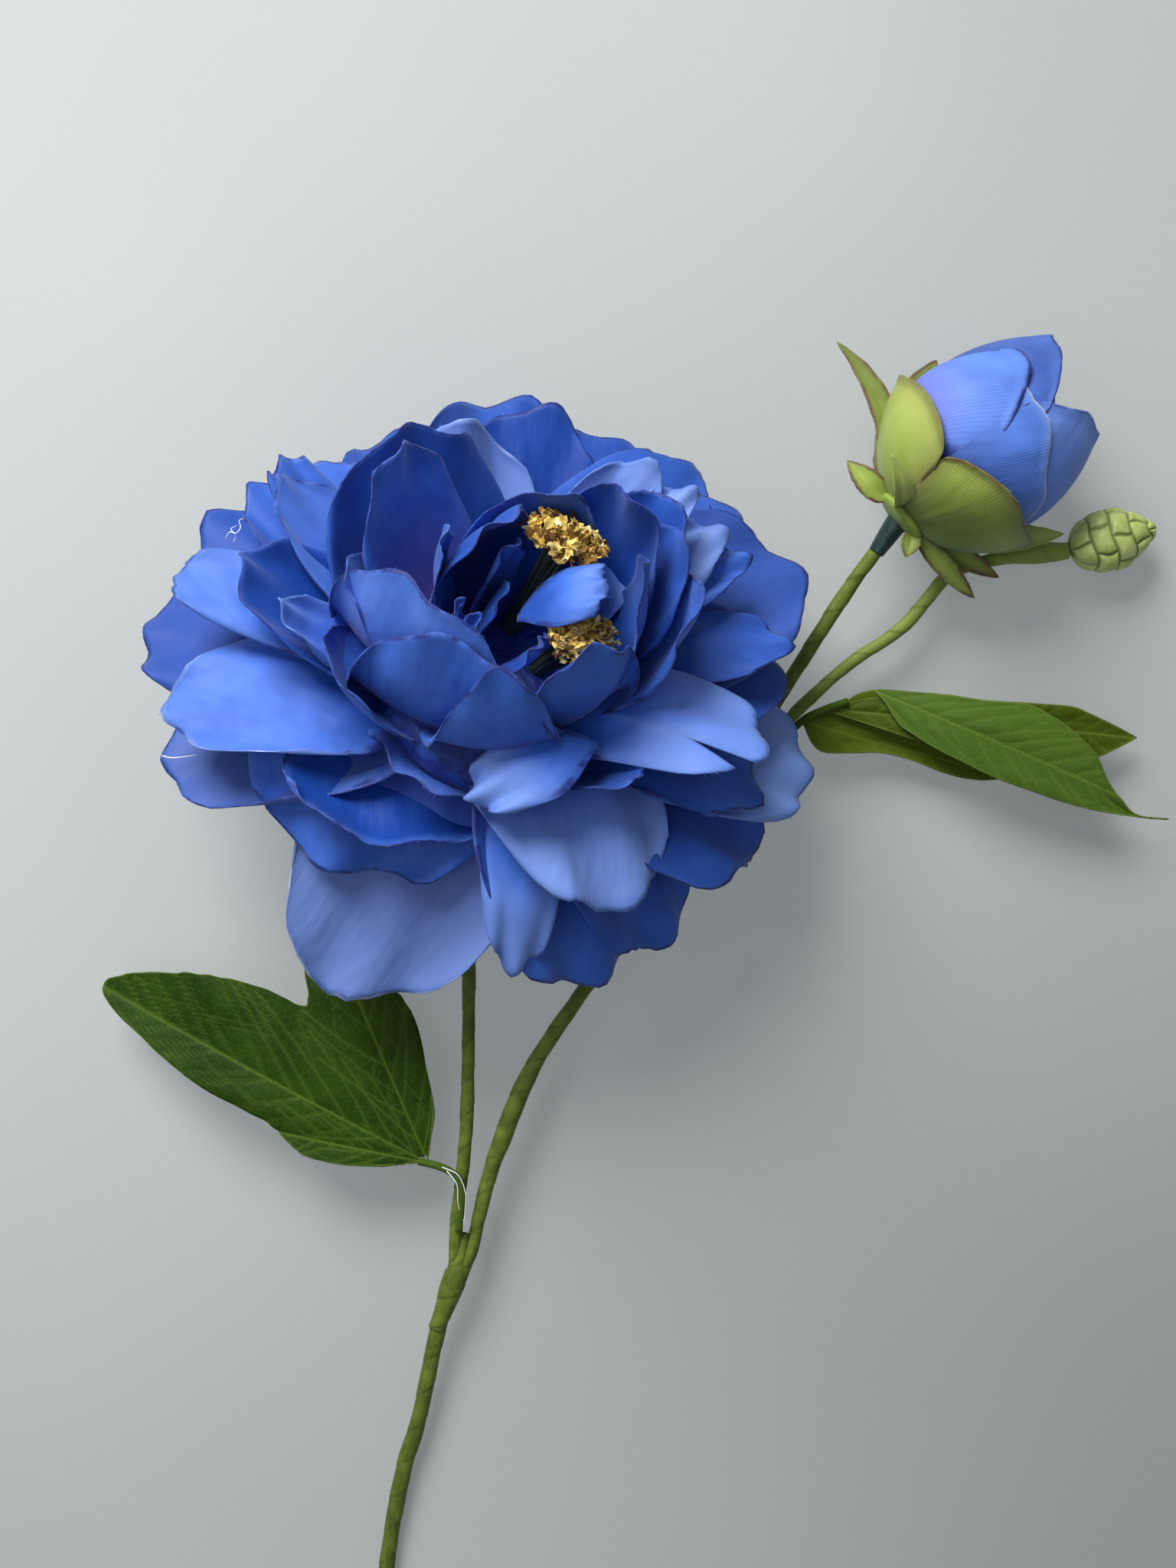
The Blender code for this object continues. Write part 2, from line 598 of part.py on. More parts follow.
def lobe_grid(foot, tip, width, rise, cup, widest, rows=7, columns=5):
    """Points of one long leaf lobe or bract, drawn to a point at its tip."""
    foot, tip = np.array(foot, float), np.array(tip, float)
    normal = across(unit(tip - foot), (0.0, 0.0, 1.0))
    middle = (foot + tip) / 2 + normal * 2 * rise
    grid = np.zeros((rows, columns, 3))
    for i, u in enumerate(np.linspace(0, 1, rows)):
        place = (1 - u) ** 2 * foot + 2 * u * (1 - u) * middle + u ** 2 * tip
        along = unit(2 * (1 - u) * (middle - foot) + 2 * u * (tip - middle))
        up = across(along, normal)
        side = np.cross(along, up)
        swell = math.log(0.5) / math.log(widest)
        spread = 0.05 + 0.95 * math.sin(math.pi * u ** swell) ** 0.8
        for j, v in enumerate(np.linspace(-1, 1, columns)):
            half = width / 2 * v * spread
            bend = math.radians(cup) / width
            lift = (1 - math.cos(bend * half)) / bend - 0.5 * (1 - abs(v)) * spread
            grid[i, j] = place + side * math.sin(bend * half) / bend + up * lift
    grid[:, :, 2] = np.maximum(grid[:, :, 2], FLOOR + LEAF / 2)
    return grid


def lobed_grid(foot, outline, ribs, rows=6):
    """Points of a leaf of joined lobes, whose strands fan out from its foot and dip at its ribs."""
    grid = np.zeros((rows, len(outline), 3))
    for j, (direction, reach) in enumerate(outline):
        turn = math.radians(direction)
        near_rib = min(abs(direction - rib) for rib in ribs)
        for i, u in enumerate(np.linspace(0.03, 1, rows)):
            out = reach * u
            height = foot[2] + LEAF_ARCH * math.sin(math.pi * out / 90) - LEAF_FALL * (out / 80) ** 2
            height += min(near_rib, 9) / 9 * out / 40
            grid[i, j] = (foot[0] + out * math.cos(turn), foot[1] + out * math.sin(turn), height)
    return grid


def leaves(looks):
    """The left leaf is one sheet of three lobes; the right one has three long lobes that overlap."""
    shapes = new_collection("left")
    tube("left_stalk", LEFT_LEAF_STALK, STALK_RADIUS, 5.0, 6, collection=shapes)
    sheet_object("left_lobes", lobed_grid(LEFT_LEAF_FOOT, LEFT_LEAF_OUTLINE, LEFT_LEAF_RIBS), LEAF, shapes)
    fuse("left_leaf", shapes, looks["leaf"])
    shapes = new_collection("right")
    tube("right_stalk", RIGHT_LEAF_STALK, STALK_RADIUS, 5.0, 6, collection=shapes)
    for k, lobe in enumerate(RIGHT_LEAF):
        sheet_object(f"right_lobe_{k}", lobe_grid(*lobe), LEAF, shapes)
    fuse("right_leaf", shapes, looks["leaf"])


def egg_radius(share, radius, blunt=0.85):
    """Radius of an egg at a share of its length."""
    share = min(max(share, 0.0), 1.0)
    return radius * max(0.0, math.sin(math.pi * share ** blunt)) ** 0.62


def egg_point(base, axis, length, radius, share, azimuth, lift):
    """A point that lies lift above an egg's surface; azimuth 0 faces up, 90 to the axis's left."""
    axis = unit(axis)
    up = across(axis, (0.0, 0.0, 1.0))
    left = np.cross(up, axis)
    turn = math.radians(azimuth)
    around = up * math.cos(turn) + left * math.sin(turn)
    return base + axis * length * share + around * (egg_radius(share, radius) + lift)


def shell_grid(base, axis, length, radius, shell, rows, columns, foot, tuck=0.0):
    """A round petal or sepal that lies over an egg; foot is the share of its width at its root."""
    azimuth, spread, start, end, lift = shell
    grid = np.zeros((rows, columns, 3))
    for j, v in enumerate(np.linspace(-1, 1, columns)):
        reach = 1 - 0.42 * (1 - math.sqrt(max(0.0, 1 - abs(v) ** 2.4)))
        for i, u in enumerate(np.linspace(0, 1, rows)):
            share = start + (end - start) * u * reach
            wide = foot + (1 - foot) * math.sin(min(u / 0.6, 1.0) * math.pi / 2)
            turn = azimuth + spread / 2 * v * wide
            grid[i, j] = egg_point(base, axis, length, radius, share, turn, lift - tuck * abs(v))
    grid[:, :, 2] = np.maximum(grid[:, :, 2], FLOOR + FABRIC / 2)
    return grid


def bud(looks):
    """The half-open bud: petals wrapped over a core, and fabric sepals wrapped over those."""
    shapes = new_collection("bud")
    axis = unit(BUD_AXIS)
    rings = []
    for share in np.linspace(0.03, 0.84, 6):
        rings.append([egg_point(BUD_BASE, axis, BUD_LENGTH, BUD_RADIUS, share, azimuth, 0.0)
                      for azimuth in range(0, 360, 40)])
    rings_object("core", rings, shapes)
    for k, shell in enumerate(BUD_PETALS):
        grid = shell_grid(BUD_BASE, axis, BUD_LENGTH, BUD_RADIUS, shell, 5, 5, 0.55, tuck=0.5)
        sheet_object(f"wrap_{k}", grid, BUD_FABRIC, shapes)
    fuse("bud_petals", shapes, looks["bud"])

    shapes = new_collection("sepals")
    seat = BUD_BASE - axis * 1.6
    ball("seat", seat, 6.0, shapes, axis, 0.28, 5, 10)
    for k, shell in enumerate(BUD_SEPALS):
        columns = 6 if shell[1] > 60 else 3
        grid = shell_grid(BUD_BASE - axis * 0.9, axis, BUD_LENGTH, BUD_RADIUS, shell, 5, columns, 0.75)
        sheet_object(f"sepal_{k}", grid, SEPAL, shapes)
    for k, (tip, width, rise) in enumerate(BRACTS):
        out = across(axis, np.array(tip) - seat)
        foot = seat + out * 4.0
        sheet_object(f"bract_{k}", lobe_grid(foot, tip, width, rise, 30, 0.45, 5, 3), SEPAL, shapes)
    fuse("bud_sepals", shapes, looks["sepal"])

    route = np.array([BUD_BASE - axis * depth for depth, _ in COLLAR_RINGS])
    collar = rings_object("bud_collar", route_rings(route, [radius for _, radius in COLLAR_RINGS], 10))
    collar.data.materials.append(looks["teal"])


def small_bud(looks):
    """The closed bud: an egg with rows of raised scales."""
    axis = unit(SMALL_BUD_AXIS)
    levels, columns = SMALL_BUD_GRID
    rings = []
    for i in range(levels):
        share = 0.03 + 0.94 * i / (levels - 1)
        ring = []
        for j in range(columns):
            azimuth = j * 360 / columns
            row = share * SCALE_ROWS
            shift = 0.5 if int(row) % 2 else 0.0
            across_tile = abs(((azimuth / SCALE_SPREAD + shift) % 1.0) - 0.5) * 2
            along_tile = abs((row % 1.0) - 0.5) * 2
            bump = SCALE_RELIEF * (1 - across_tile ** 4) * (1 - along_tile ** 4)
            ring.append(egg_point(SMALL_BUD_BASE, axis, SMALL_BUD_LENGTH, SMALL_BUD_RADIUS,
                                  share, azimuth, bump))
        rings.append(ring)
    ends = (SMALL_BUD_BASE, SMALL_BUD_BASE + axis * (SMALL_BUD_LENGTH + 0.6))
    egg = rings_object("small_bud", rings, tips=ends)
    egg.data.materials.append(looks["small_bud"])
    egg.data.shade_smooth()


def main():
    clear_scene()
    looks = {
        "petal": material("petal_fabric", BLUE, 0.85),
        "bud": material("bud_fabric", BUD_BLUE, 0.85),
        "sepal": material("sepal_fabric", SEPAL_GREEN, 0.8),
        "stem": material("stem_tape", STEM_GREEN, 0.7),
        "steel": material("wire_steel", STEEL, 0.4, 1.0),
        "leaf": material("leaf_plastic", LEAF_GREEN, 0.5),
        "small_bud": material("small_bud_plastic", SMALL_BUD_GREEN, 0.45),
        "stalk": material("stalk_plastic", STALK_GREEN, 0.6),
        "teal": material("collar_plastic", TEAL, 0.4),
        "gold": material("anther_gold", GOLD, 0.5, 0.3),
    }
    petals(looks)
    stamens(looks)
    calyx(looks)
    stems(looks)
    leaves(looks)
    bud(looks)
    small_bud(looks)


main()
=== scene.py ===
"""The looks of an artificial peony spray: fabric petals, golden stamens, a bud, leaves and taped wire stems.

Lengths in the tables are millimetres, counted as in the part's source: X to the right, Y up the spray and Z up
from the surface, from a point that ORIGIN moves to the middle of the whole spray.

Each point of a piece carries two triples that its material reads. cloth is the place on the cloth in
millimetres, across and along, and the sheet's number. look is the distance from the rim in millimetres and two
shares, which the material's own text explains.
"""
import math

import bpy
import numpy as np
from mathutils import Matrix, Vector


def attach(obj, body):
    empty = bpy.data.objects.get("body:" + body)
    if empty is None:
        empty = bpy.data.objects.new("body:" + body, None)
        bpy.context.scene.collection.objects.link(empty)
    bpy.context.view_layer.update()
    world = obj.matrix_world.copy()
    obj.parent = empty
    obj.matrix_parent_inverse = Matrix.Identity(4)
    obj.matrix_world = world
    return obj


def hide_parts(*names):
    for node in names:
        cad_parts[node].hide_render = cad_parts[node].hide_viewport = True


MM = 0.001
ORIGIN = np.array([10.5, -132.3, 0.0])
SEED = 5
# The lowest height of a sheet's points
FLOOR = 0.3
GOLDEN_ANGLE = math.radians(137.5)

CAMERA_HEIGHT = 463.0
FOCAL_LENGTH = 50.0
SENSOR_HEIGHT = 36.0
SKY = (0.86, 0.93, 1.0, 1.0)
SKY_STRENGTH = 0.19
# Name, place and target in metres, size, power and colour
LAMPS = (("window", (-0.45, 1.05, 0.95), (-0.03, 0.13, 0.05), 0.8, 28.0, (1.0, 0.99, 0.96)),
         ("room_fill", (-0.45, -0.05, 1.3), (0.0, 0.1, 0.03), 1.2, 4.0, (0.88, 0.94, 1.0)))
# Painted light: the background glows, this much at the picture's lower and upper edge and this much more at
# the left edge, brighter towards the window and lightening the spray's shadow
FLOOR_PAINTED_GLOW = (0.105, 0.305)
FLOOR_PAINTED_TILT = 0.08

BLOOM_AXIS = np.array([0.321, 0.502, 0.803])
BLOOM_CENTRE = np.array([-19.0, 19.0, 38.0])
RECEPTACLE = 26.0
RECEPTACLE_FLATNESS = 0.40
RECEPTACLE_LIFT = 2.5
CALYX_DEPTH = 10.0
# Thickness of the petals, of the bud's petals and of the leaves
CLOTH = 0.3
BUD_CLOTH = 0.4
LEAF = 0.35
PETAL_ROWS = 40
PETAL_STRANDS = 37
# How wide a petal starts, where it is widest, where its rim begins, and how its rim is drawn in and cupped
FOOT = 0.12
WIDEST = 0.72
RIM_START = 0.6
RIM_DRAWN_IN = 0.1
RIM_CUP = 0.7
ROOT_RING = 3.0
# Painted shade: how much darker a petal is dyed towards its foot, for the shade deep in the bloom
ROOT_PAINTED_SHADE = 1.2
RUFFLE = 0.02
RUFFLE_WAVES = 7.0
# A petal of this width has all of its ruffles, and a narrower one has less
FULL_WIDTH = 36
# Ragged rim: height, whether it is less on a narrow petal, and the number and lowest and highest count of waves
RIM_WAVES = ((1.0, True, 3, 2, 6), (0.4, True, 3, 6, 14), (0.2, False, 4, 14, 30), (0.28, False, 4, 30, 60))
# Length of a loose thread and how often it is that long
THREADS = ((0.3, 0.5, 0.8, 1.4), (0.45, 0.35, 0.15, 0.05))
# A distance from the rim at which the rim no longer shows
INSIDE = 5.0

# A petal's tip, its width, how far its midrib rises towards its face, how far it is cupped across in degrees,
# how pale or, below zero, how deep its dye is, partly the dye's own tone and partly painted light and painted
# shade for how lit the petal lies, and what is special about it
OUTER_PETALS = [
    ((-47.5, -42, 33), 50, 4, 20, 0.75, dict(top=0.6, skew=0.05, scallop=1.8, grey=0.7, curl=-1.0,
     light_rim=1.5)),
    ((-82, 3, 36), 38, 4, 30, -0.85, dict(top=0.45, light_rim=0.6, grey=0.4)),
    ((1, -37.5, 33), 44, 7, 50, -0.4, dict(square=3, top=0.34, scallop=1.3)),
    ((15, -32, 33), 36, 5, 50, -0.6, dict(phase=2.0, scallop=1.4)),
    ((32.5, -14.5, 28), 46, 5, 30, -0.5, dict(phase=3.0, scallop=1.4)),
    ((-14, -36, 47), 17, 8, -50, 0.75, dict(root=(-16, 4, 44))),
    ((44.5, 2, 23), 34, 3, 15, 1.0, dict(root=(8, 10, 36))),
    ((33, -3, 38), 28, 5, 30, -0.5, {}),
    ((25, -5, 44), 14, 3, 10, 0.3, {}),
    ((42, 43, 22), 44, 4, 40, -1.25, dict(light_rim=0.5, grey=0.15)),
    ((39, 27, 37), 19, 5, -30, -0.7, dict(light_rim=0.8)),
    ((38, 20, 31), 36, 8, 10, -0.9, dict(light_rim=0.4)),
    ((31, 44, 38), 16, 5, 30, 0.0, {}),
    ((21, 66, 12), 34, 4, 30, -0.7, {}),
    ((30, 56, 16), 32, 4, 30, -0.5, {}),
    ((-8, 76, 22), 36, -6, 50, -1.05, dict(scallop=0.7)),
    ((7, 72, 1), 38, 2, 40, -0.75, dict(scallop=0.7)),
    ((-13, 80, -2), 50, 3, 30, -0.85, dict(scallop=0.7)),
    ((-25, 71, 34), 36, -6, 40, 1.0, dict(scallop=0.7)),
    ((-40, 73, -1), 44, 2, 30, -0.6, dict(scallop=0.7)),
    ((-55, 65, 22), 38, 2, 30, 0.0, {}),
    ((-59, 58, 48), 22, -4, 80, 0.3, dict(scallop=0.5)),
    ((-60, 63, 38), 15, -3, 25, 0.0, dict(square=5, top=0.2, scallop=0.3, curl=0.2)),
    ((-67, 58, 31), 26, 0, 30, -0.35, dict(scallop=0.8)),
    ((-77, 52, 20), 36, 2, 30, -0.85, {}),
    ((-80, 41, 48), 22, 2, 40, 0.2, dict(square=3, notch=(0.1, 0.05, 0.3), light_rim=0.6)),
    ((-88, 31, 28), 38, 4, 30, -1.4, dict(scallop=0.6, top=0.3, square=2.6, grey=0.1)),
    ((-49, -15, 45), 52, 3, 10, -0.2, dict(violet=0.1, light_rim=0.5, root=(-33, 18, 43))),
]
MIDDLE_PETALS = [
    ((-65, 41, 58), 30, -4, 90, -0.75, dict(light_rim=0.5, scallop=0.6)),
    ((-56.5, 33, 64), 16, -4, 60, 0.2, dict(light_rim=1.2)),
    ((-80, 13, 50), 31, 7, -60, 0.1, dict(light_rim=1.9)),
    ((-35, -13, 54), 47, -3, 14, -1.1, dict(curl=-2.5, top=0.4, square=2.4, light_rim=0.5, band=0.9,
     root=(-35, 14, 43))),
    ((-33, 2, 61), 28, -6, 40, 0.0, dict(light_rim=0.5)),
    ((-21.5, -2.5, 63), 16, 4, -40, 0.95, dict(scallop=0.9, root=(1.5, 7.5, 60), top=0.4, square=2.4,
     pleat=0.8, curl=0.3, wave=1.2)),
    ((7, -23, 51), 39, 8, -50, 0.95, dict(scallop=1.4)),
    ((33, 6, 54), 28, 6, -50, 0.65, dict(notch=(0.35, 0.3, 0.05))),
    ((8.5, 0.5, 63), 22, -6, 100, -0.5, dict(light_rim=0.6)),
    ((26, 49, 42), 20, 3, 30, 0.9, {}),
    ((20, 56, 50), 15, 3, 20, 1.0, {}),
    ((12, 61, 50), 22, 0, 30, 1.0, {}),
    ((17, 52, 58), 26, -4, 60, -0.6, {}),
]
INNER_PETALS = [
    ((-36, 65, 54), 46, -8, 60, -0.4, dict(square=3.4, top=0.3, scallop=0.6)),
    ((-35, 61, 64), 31, -6, 55, 0.05, dict(violet=0.6, scallop=0.4, top=0.4, square=2.3, curl=0.4)),
    ((-26, 46, 70), 10, -4, 60, 0.2, {}),
    ((-44, 40, 66), 22, -3, 40, 0.4, dict(scallop=0.5)),
    ((-32.5, 36.5, 77), 46, -11, 90, 0.2, dict(face=(0.4, 0.9, 0.1), square=2.8, violet=0.7, scallop=0.3,
     curl=0.6)),
    ((-24.5, 25.5, 79), 44, -12, 80, -0.2, dict(face=(0.25, 1, 0.1), square=2.6, top=0.42, scallop=0.4,
     curl=0.8)),
    ((-16, 20, 81), 28, -11.5, 55, -0.1, dict(face=(0, 1, 0.1), root=(-19, 16, 46), top=0.78, skew=-0.05,
     scallop=0.2, pleat=0.4, curl=0.3)),
    ((1.5, 24.5, 76), 30, -10, 80, -0.15, dict(face=(-0.3, 1, 0.1), square=2.5, top=0.4, scallop=0.4,
     curl=0.8)),
    ((10, 39, 72), 24, -11, 90, -0.25, dict(scallop=0.5)),
    ((20, 36, 66), 26, -10, 90, 0.0, dict(scallop=0.5)),
    ((17, 45, 64), 26, -8, 90, -0.4, dict(scallop=0.5)),
    ((10, 52, 66), 30, -9, 90, -0.6, dict(light_rim=0.5, scallop=0.6)),
    ((-5, 54, 62), 30, -7, 70, -0.1, dict(light_rim=0.8, scallop=0.7)),
    ((-14, 49, 70), 26, -9, 90, -0.7, dict(scallop=0.7)),
    ((-13, 44, 66), 12, -3, 60, -0.5, {}),
    ((3.2, 36, 70), 13, 2, -50, 0.4, dict(root=(-13, 30.5, 61), light_rim=0.3, scallop=1.2, top=0.2,
     square=4)),
    ((-20, 30, 72), 10, -4, 60, -0.3, {}),
    ((-23, 33, 71), 5, -2, 60, 0.0, dict(scallop=0.4)),
    ((-8, 26, 69), 9, -2, 40, 0.3, dict(scallop=0.4, root=(-16, 22, 58))),
    ((-15, 36, 62), 14, -3, 60, -0.8, dict(scallop=0.4)),
    ((-4, 47, 62), 16, -3, 60, -0.8, dict(scallop=0.4)),
    ((-48, 23, 68), 28, -7, 60, -0.3, dict(face=(0.9, 0.45, 0.1), light_rim=0.8, scallop=0.5)),
]

# Foot and head of the stalk bundle under each stamen tuft, and half the tuft's length and breadth
STAMENS = {
    "upper": ((-17.5, 26.0, 42.5), (-5.5, 43.5, 58.0), 8.0, 5.6),
    "lower": ((-12.5, 20.5, 43.5), (-2.2, 26.0, 61.5), 6.8, 4.6),
}
STALK_FLARE = ((0.0, 0.3, 0.65, 1.0), (1.7, 1.9, 2.5, 3.2))
FILAMENTS = 26
TUFT_DEPTH = 2.0
TUFT_SIDE = (1.0, 0.1, 0.0)
TUFT_GAP = 0.4
CRUMBS = 190
CRUMB_SIZES = (0.45, 1.25)
FOIL = 0.14
# A crumb's tone and how often it has that tone
CRUMB_TONES = ((0.12, 0.3, 0.5, 0.65, 0.8, 0.95), (0.12, 0.16, 0.2, 0.2, 0.2, 0.12))

GAP = 0.3
# The tape that binds both branches and the left leaf's stalk to the trunk
FORK = [(-31.6, -114, 6.8), (-29.3, -107.5, 7.9), (-27.3, -101.5, 8.5), (-26.2, -97, 9.2), (-25.6, -93.5, 9.7)]
TRUNK = [(-52, -352, 2.0), (-52, -310, 2.0), (-50, -260, 2.0), (-46, -205, 2.1), (-42.6, -166, 2.6),
         (-39, -145, 3.6), (-35.6, -133.6, 4.6), (-31.4, -114, 6.6), (-28, -102, 8.2)]
BLOOM_BRANCH = [(-28.8, -104.5, 8.0), (-27.8, -101.2, 8.4), (-27.6, -96, 9.3), (-27.2, -89, 10.3),
                (-26, -80, 11.6), (-25, -68, 13.3), (-24.5, -48, 16), (-24.4, -26, 18), (-24.6, -10, 19.4),
                (-24.4, 1, 21.2)]
BLOOM_BRANCH += [tuple(BLOOM_CENTRE - BLOOM_AXIS * (CALYX_DEPTH + d)) for d in (4.5, GAP)]
BUD_BRANCH = [(-28.6, -106.5, 8.0), (-26.0, -101, 8.6), (-24, -96, 9), (-22.6, -89.7, 9.6), (-20.8, -82.5, 10),
              (-18.6, -75.8, 10.4), (-11.4, -58.6, 11), (1.6, -39.1, 11.5), (15, -19, 12), (28, 0.6, 12.8),
              (39.2, 17.6, 13.6), (49.4, 33.8, 15.0), (54.6, 41.7, 16.2), (57.4, 45.6, 17.1), (59.6, 48.6, 17.8)]
SMALL_BRANCH = [(24.8, -4.6, 12.5), (27.8, -2.2, 12.3), (31.2, 0.6, 11.6), (36.4, 7, 10.6), (42.5, 14.2, 10),
                (53.9, 24.6, 9.5), (65.5, 32.7, 9), (74.5, 43.0, 8.6), (79, 45.4, 8.3), (88, 47.5, 7.9),
                (100.3, 48.8, 7.6)]
# Name, node, route, radius at both ends, the swellings' place, breadth and height, and how much paler it gets
# towards its end; on the small bud's branch this is partly its own paler plastic and partly painted light
# against the shadow that the bud casts on it
TAPED_STEMS = (
    ("trunk_tape", "main_stem", TRUNK, 1.62, 1.62, ((252.0, 5.0, 0.35),), -0.1),
    ("bloom_branch_tape", "bloom_branch", BLOOM_BRANCH, 1.3, 1.3, (), 0.0),
    ("bud_branch_tape", "bud_branch", BUD_BRANCH, 1.4, 1.4, ((42.0, 12.0, 0.5), (2.0, 4.0, 0.3)), 0.1),
    ("small_branch_tape", "small_bud_branch", SMALL_BRANCH, 1.1, 1.4, ((90.5, 5.0, 0.75),), 1.0),
)
TAPE_PITCH = 7.5
TAPE_STEP = 0.13
GLUE_RADII = ((0, 0.5, 1), (0.13, 0.09, 0.05))
GLUE_THREADS = [
    [(-68.5, 46.5, 51), (-67.5, 47.5, 52.5), (-66.3, 47.2, 53), (-65.4, 48.3, 53), (-65.8, 49.6, 52.5),
     (-64.9, 50.2, 52)],
    [(-67.0, 45.8, 51), (-66.4, 46.9, 52.5), (-67.2, 48.0, 53), (-66.2, 48.8, 52)],
    [(-81.5, 5.4, 46), (-79.5, 5.0, 47), (-77.0, 5.2, 47.5), (-74.6, 5.6, 48)],
    [(-30.0, -78.8, 15.1), (-26.8, -80.4, 15.0), (-25.3, -84.0, 14.4), (-25.4, -88.0, 13.2),
     (-25.8, -91.4, 12.6)],
    [(-29.0, -79.6, 15.0), (-27.0, -82.5, 14.6), (-26.8, -86.5, 13.7), (-25.9, -90.0, 12.8),
     (-24.2, -91.6, 11.4)],
]

LEFT_LEAF_STALK = [(-26.8, -92.5, 11.8), (-26.2, -87.5, 12.8), (-26.1, -83.4, 13.6), (-27.6, -80.5, 14.1),
                   (-30.7, -78.8, 14.2), (-35, -77.8, 13.8)]
RIGHT_LEAF_STALK = [(25.0, -5.2, 12.2), (29.4, -4.4, 11.5), (33.6, -2.6, 10.4), (37.2, 3.4, 8.6),
                    (41, 9.4, 8.4), (45, 13.4, 8.8), (49, 15.4, 9.6), (54, 17.2, 10.8)]
STALK_RADIUS = 0.8
LEAF_ARCH = 3.0
LEAF_FALL = 6.0
VEIN_WIDTH = 0.33
VEIN_DEPTH = 0.15
PUFF = 0.35
# The colour shares of a leaf's stalk
STALK_LOOK = (INSIDE, 0.15, 0.35)
LEFT_LEAF_FOOT = (-33.0, -78.0, 13.8)
# Directions from the foot in degrees, and the leaf's reach there
LEFT_LEAF_OUTLINE = [(82, 10), (90, 18.5), (95, 30), (101, 38), (108, 52), (113, 57), (119, 53), (127, 41),
                     (134, 51), (143, 65), (152, 77), (157, 63), (161, 50), (165, 35), (170, 30), (177, 24),
                     (184, 9)]
# Direction and length of a midrib, and how many pairs of side veins it has
LEFT_LEAF_RIBS = ((113, 57, 9), (152, 77, 12), (168, 31, 6))
# Foot, tip, width, rise and cup of a lobe, how pale or, below zero, how olive it is, and its upper and lower
# edge: the share of its length in hundredths and the distance from its axis
RIGHT_LEAF = [
    ((59.5, 19.4, 11.3), (121.6, -7.4, 7), 17, 6, -40, 0.55,
     [(0, 0.1), (2, 0.9), (16, 4.1), (30, 6.9), (44, 9.9), (52, 9.8), (58, 9.0), (69, 6.0), (76, 1.8),
      (83, -0.6), (90, -2.0), (100, 0.1)],
     [(0, 0.1), (4, 1.5), (10, 4.5), (15, 5.4), (31, 6.8), (50, 6.9), (71, 5.5), (83, 3.7), (90, 2.3),
      (100, 0.1)]),
    ((45, 13.0, 8.3), (88, 1.2, 4), 17, 1, 20, -0.825,
     [(0, 0.5), (14, 5.2), (21, 8.8), (30, 10.6), (50, 11.0), (80, 7.0), (100, 0.1)],
     [(0, 0.5), (7, 4.2), (14, 5.0), (26, 3.6), (39, 2.0), (53, 1.8), (71, 2.5), (87, 2.0), (100, 0.1)]),
    ((50, 15.6, 9.2), (115.2, 9.7, 6), 11, 4, -12, -0.4,
     [(0, 0.5), (16, 3.5), (40, 4.5), (64, 5.0), (76, 5.2), (83, 4.1), (91, 2.4), (100, 0.1)],
     [(0, 0.5), (30, 5.0), (60, 7.0), (78, 6.6), (86, 5.4), (93, 2.9), (100, 0.1)]),
]

COLLAR = [(58.9, 47.3, 17.5), (60.0, 49.0, 17.9), (61.3, 50.9, 18.4), (62.7, 52.9, 18.9), (64.4, 55.0, 19.3)]
COLLAR_RADII = (1.6, 1.9, 2.1, 2.35, 2.7)
BUD_BASE = np.array([65.0, 55.6, 19.6])
BUD_AXIS = np.array([0.765, 0.642, 0.05])
BUD_LENGTH = 48.5
BUD_RADIUS = 17.6
# Azimuth and spread in degrees, start and end along the egg, lift of the sheet above the egg, what is special;
# a petal's pale among that is partly the cloth's own tone and partly painted light and painted shade
BUD_PETALS = [
    ((-142, 130, 0.1, 0.76, 0.3), dict(pale=-0.4, close=2.0)),
    ((165, 110, 0.1, 0.84, 0.5), dict(pale=-0.5, close=1.0)),
    ((64, 150, 0.1, 0.90, 0.6), dict(pale=-0.6, flare=0.4, scallop=0.7)),
    ((-76, 164, 0.1, 0.80, 0.8), dict(pale=0.35, scallop=0.7)),
    ((12, 104, 0.1, 0.57, 1.9), dict(pale=-0.1, light_rim=2.4, scallop=1.6, lean=-34, close=1.0, skew=0.42)),
    ((72, 66, 0.1, 0.72, 2.7), dict(pale=0.1, violet=0.5, lean=-46, close=1.5, scallop=0.5, top=0.85,
                                    skew=0.2)),
]
BUD_SEPALS = [
    ((-150, 104, -0.02, 0.38, 3.3), dict(pale=-0.2)),
    ((155, 60, -0.02, 0.42, 3.3), dict(pale=0.0)),
    ((84, 148, -0.02, 0.36, 3.6), dict(pale=0.6, top=0.5)),
    ((-56, 136, -0.02, 0.325, 3.7), dict(pale=-0.05)),
]
BUD_SEAT = 6.0
# Tip, width, rise of the narrow bracts at the bud's base, how far they bend sideways, how pale and how brown
BRACTS = [
    ((50.9, 90.3, 18), 5.2, 1, 9.0, -0.4, 0.3), ((72.0, 87.5, 13), 11, 1, -3.5, -0.3, 0.7),
    ((52.5, 65.5, 22), 5.5, 2, -1.0, 0.3, 0.0), ((59.6, 64.6, 36), 4.2, 4, 1.5, 1.0, 0.0),
    ((80, 38.5, 12), 4.4, 2, 1.0, 0.3, -0.1), ((85.5, 43, 9.5), 5, 1, 0.0, -0.1, 1.0),
    ((64.5, 46, 21), 4.0, 1, 0.0, 0.5, -0.1), ((98.5, 51.8, 12), 7, 1, 2.0, 0.9, 0.0),
]
BRACT_CUP = 30
BRACT_WIDEST = 0.45
BRACT_JAG = 0.07
# The bud's sheets are numbered from here on
BUD_NUMBER = 200
SMALL_BUD_BASE = np.array([100.6, 48.9, 7.6])
SMALL_BUD_AXIS = np.array([0.969, 0.247, 0.0])
SMALL_BUD_LENGTH = 18.5
SMALL_BUD_RADIUS = 5.9
SMALL_BUD_RINGS = 150
SMALL_BUD_SIDES = 220
SCALE_RELIEF = 0.9
SCALE_ROWS = 4.4
SCALE_SPREAD = 60.0
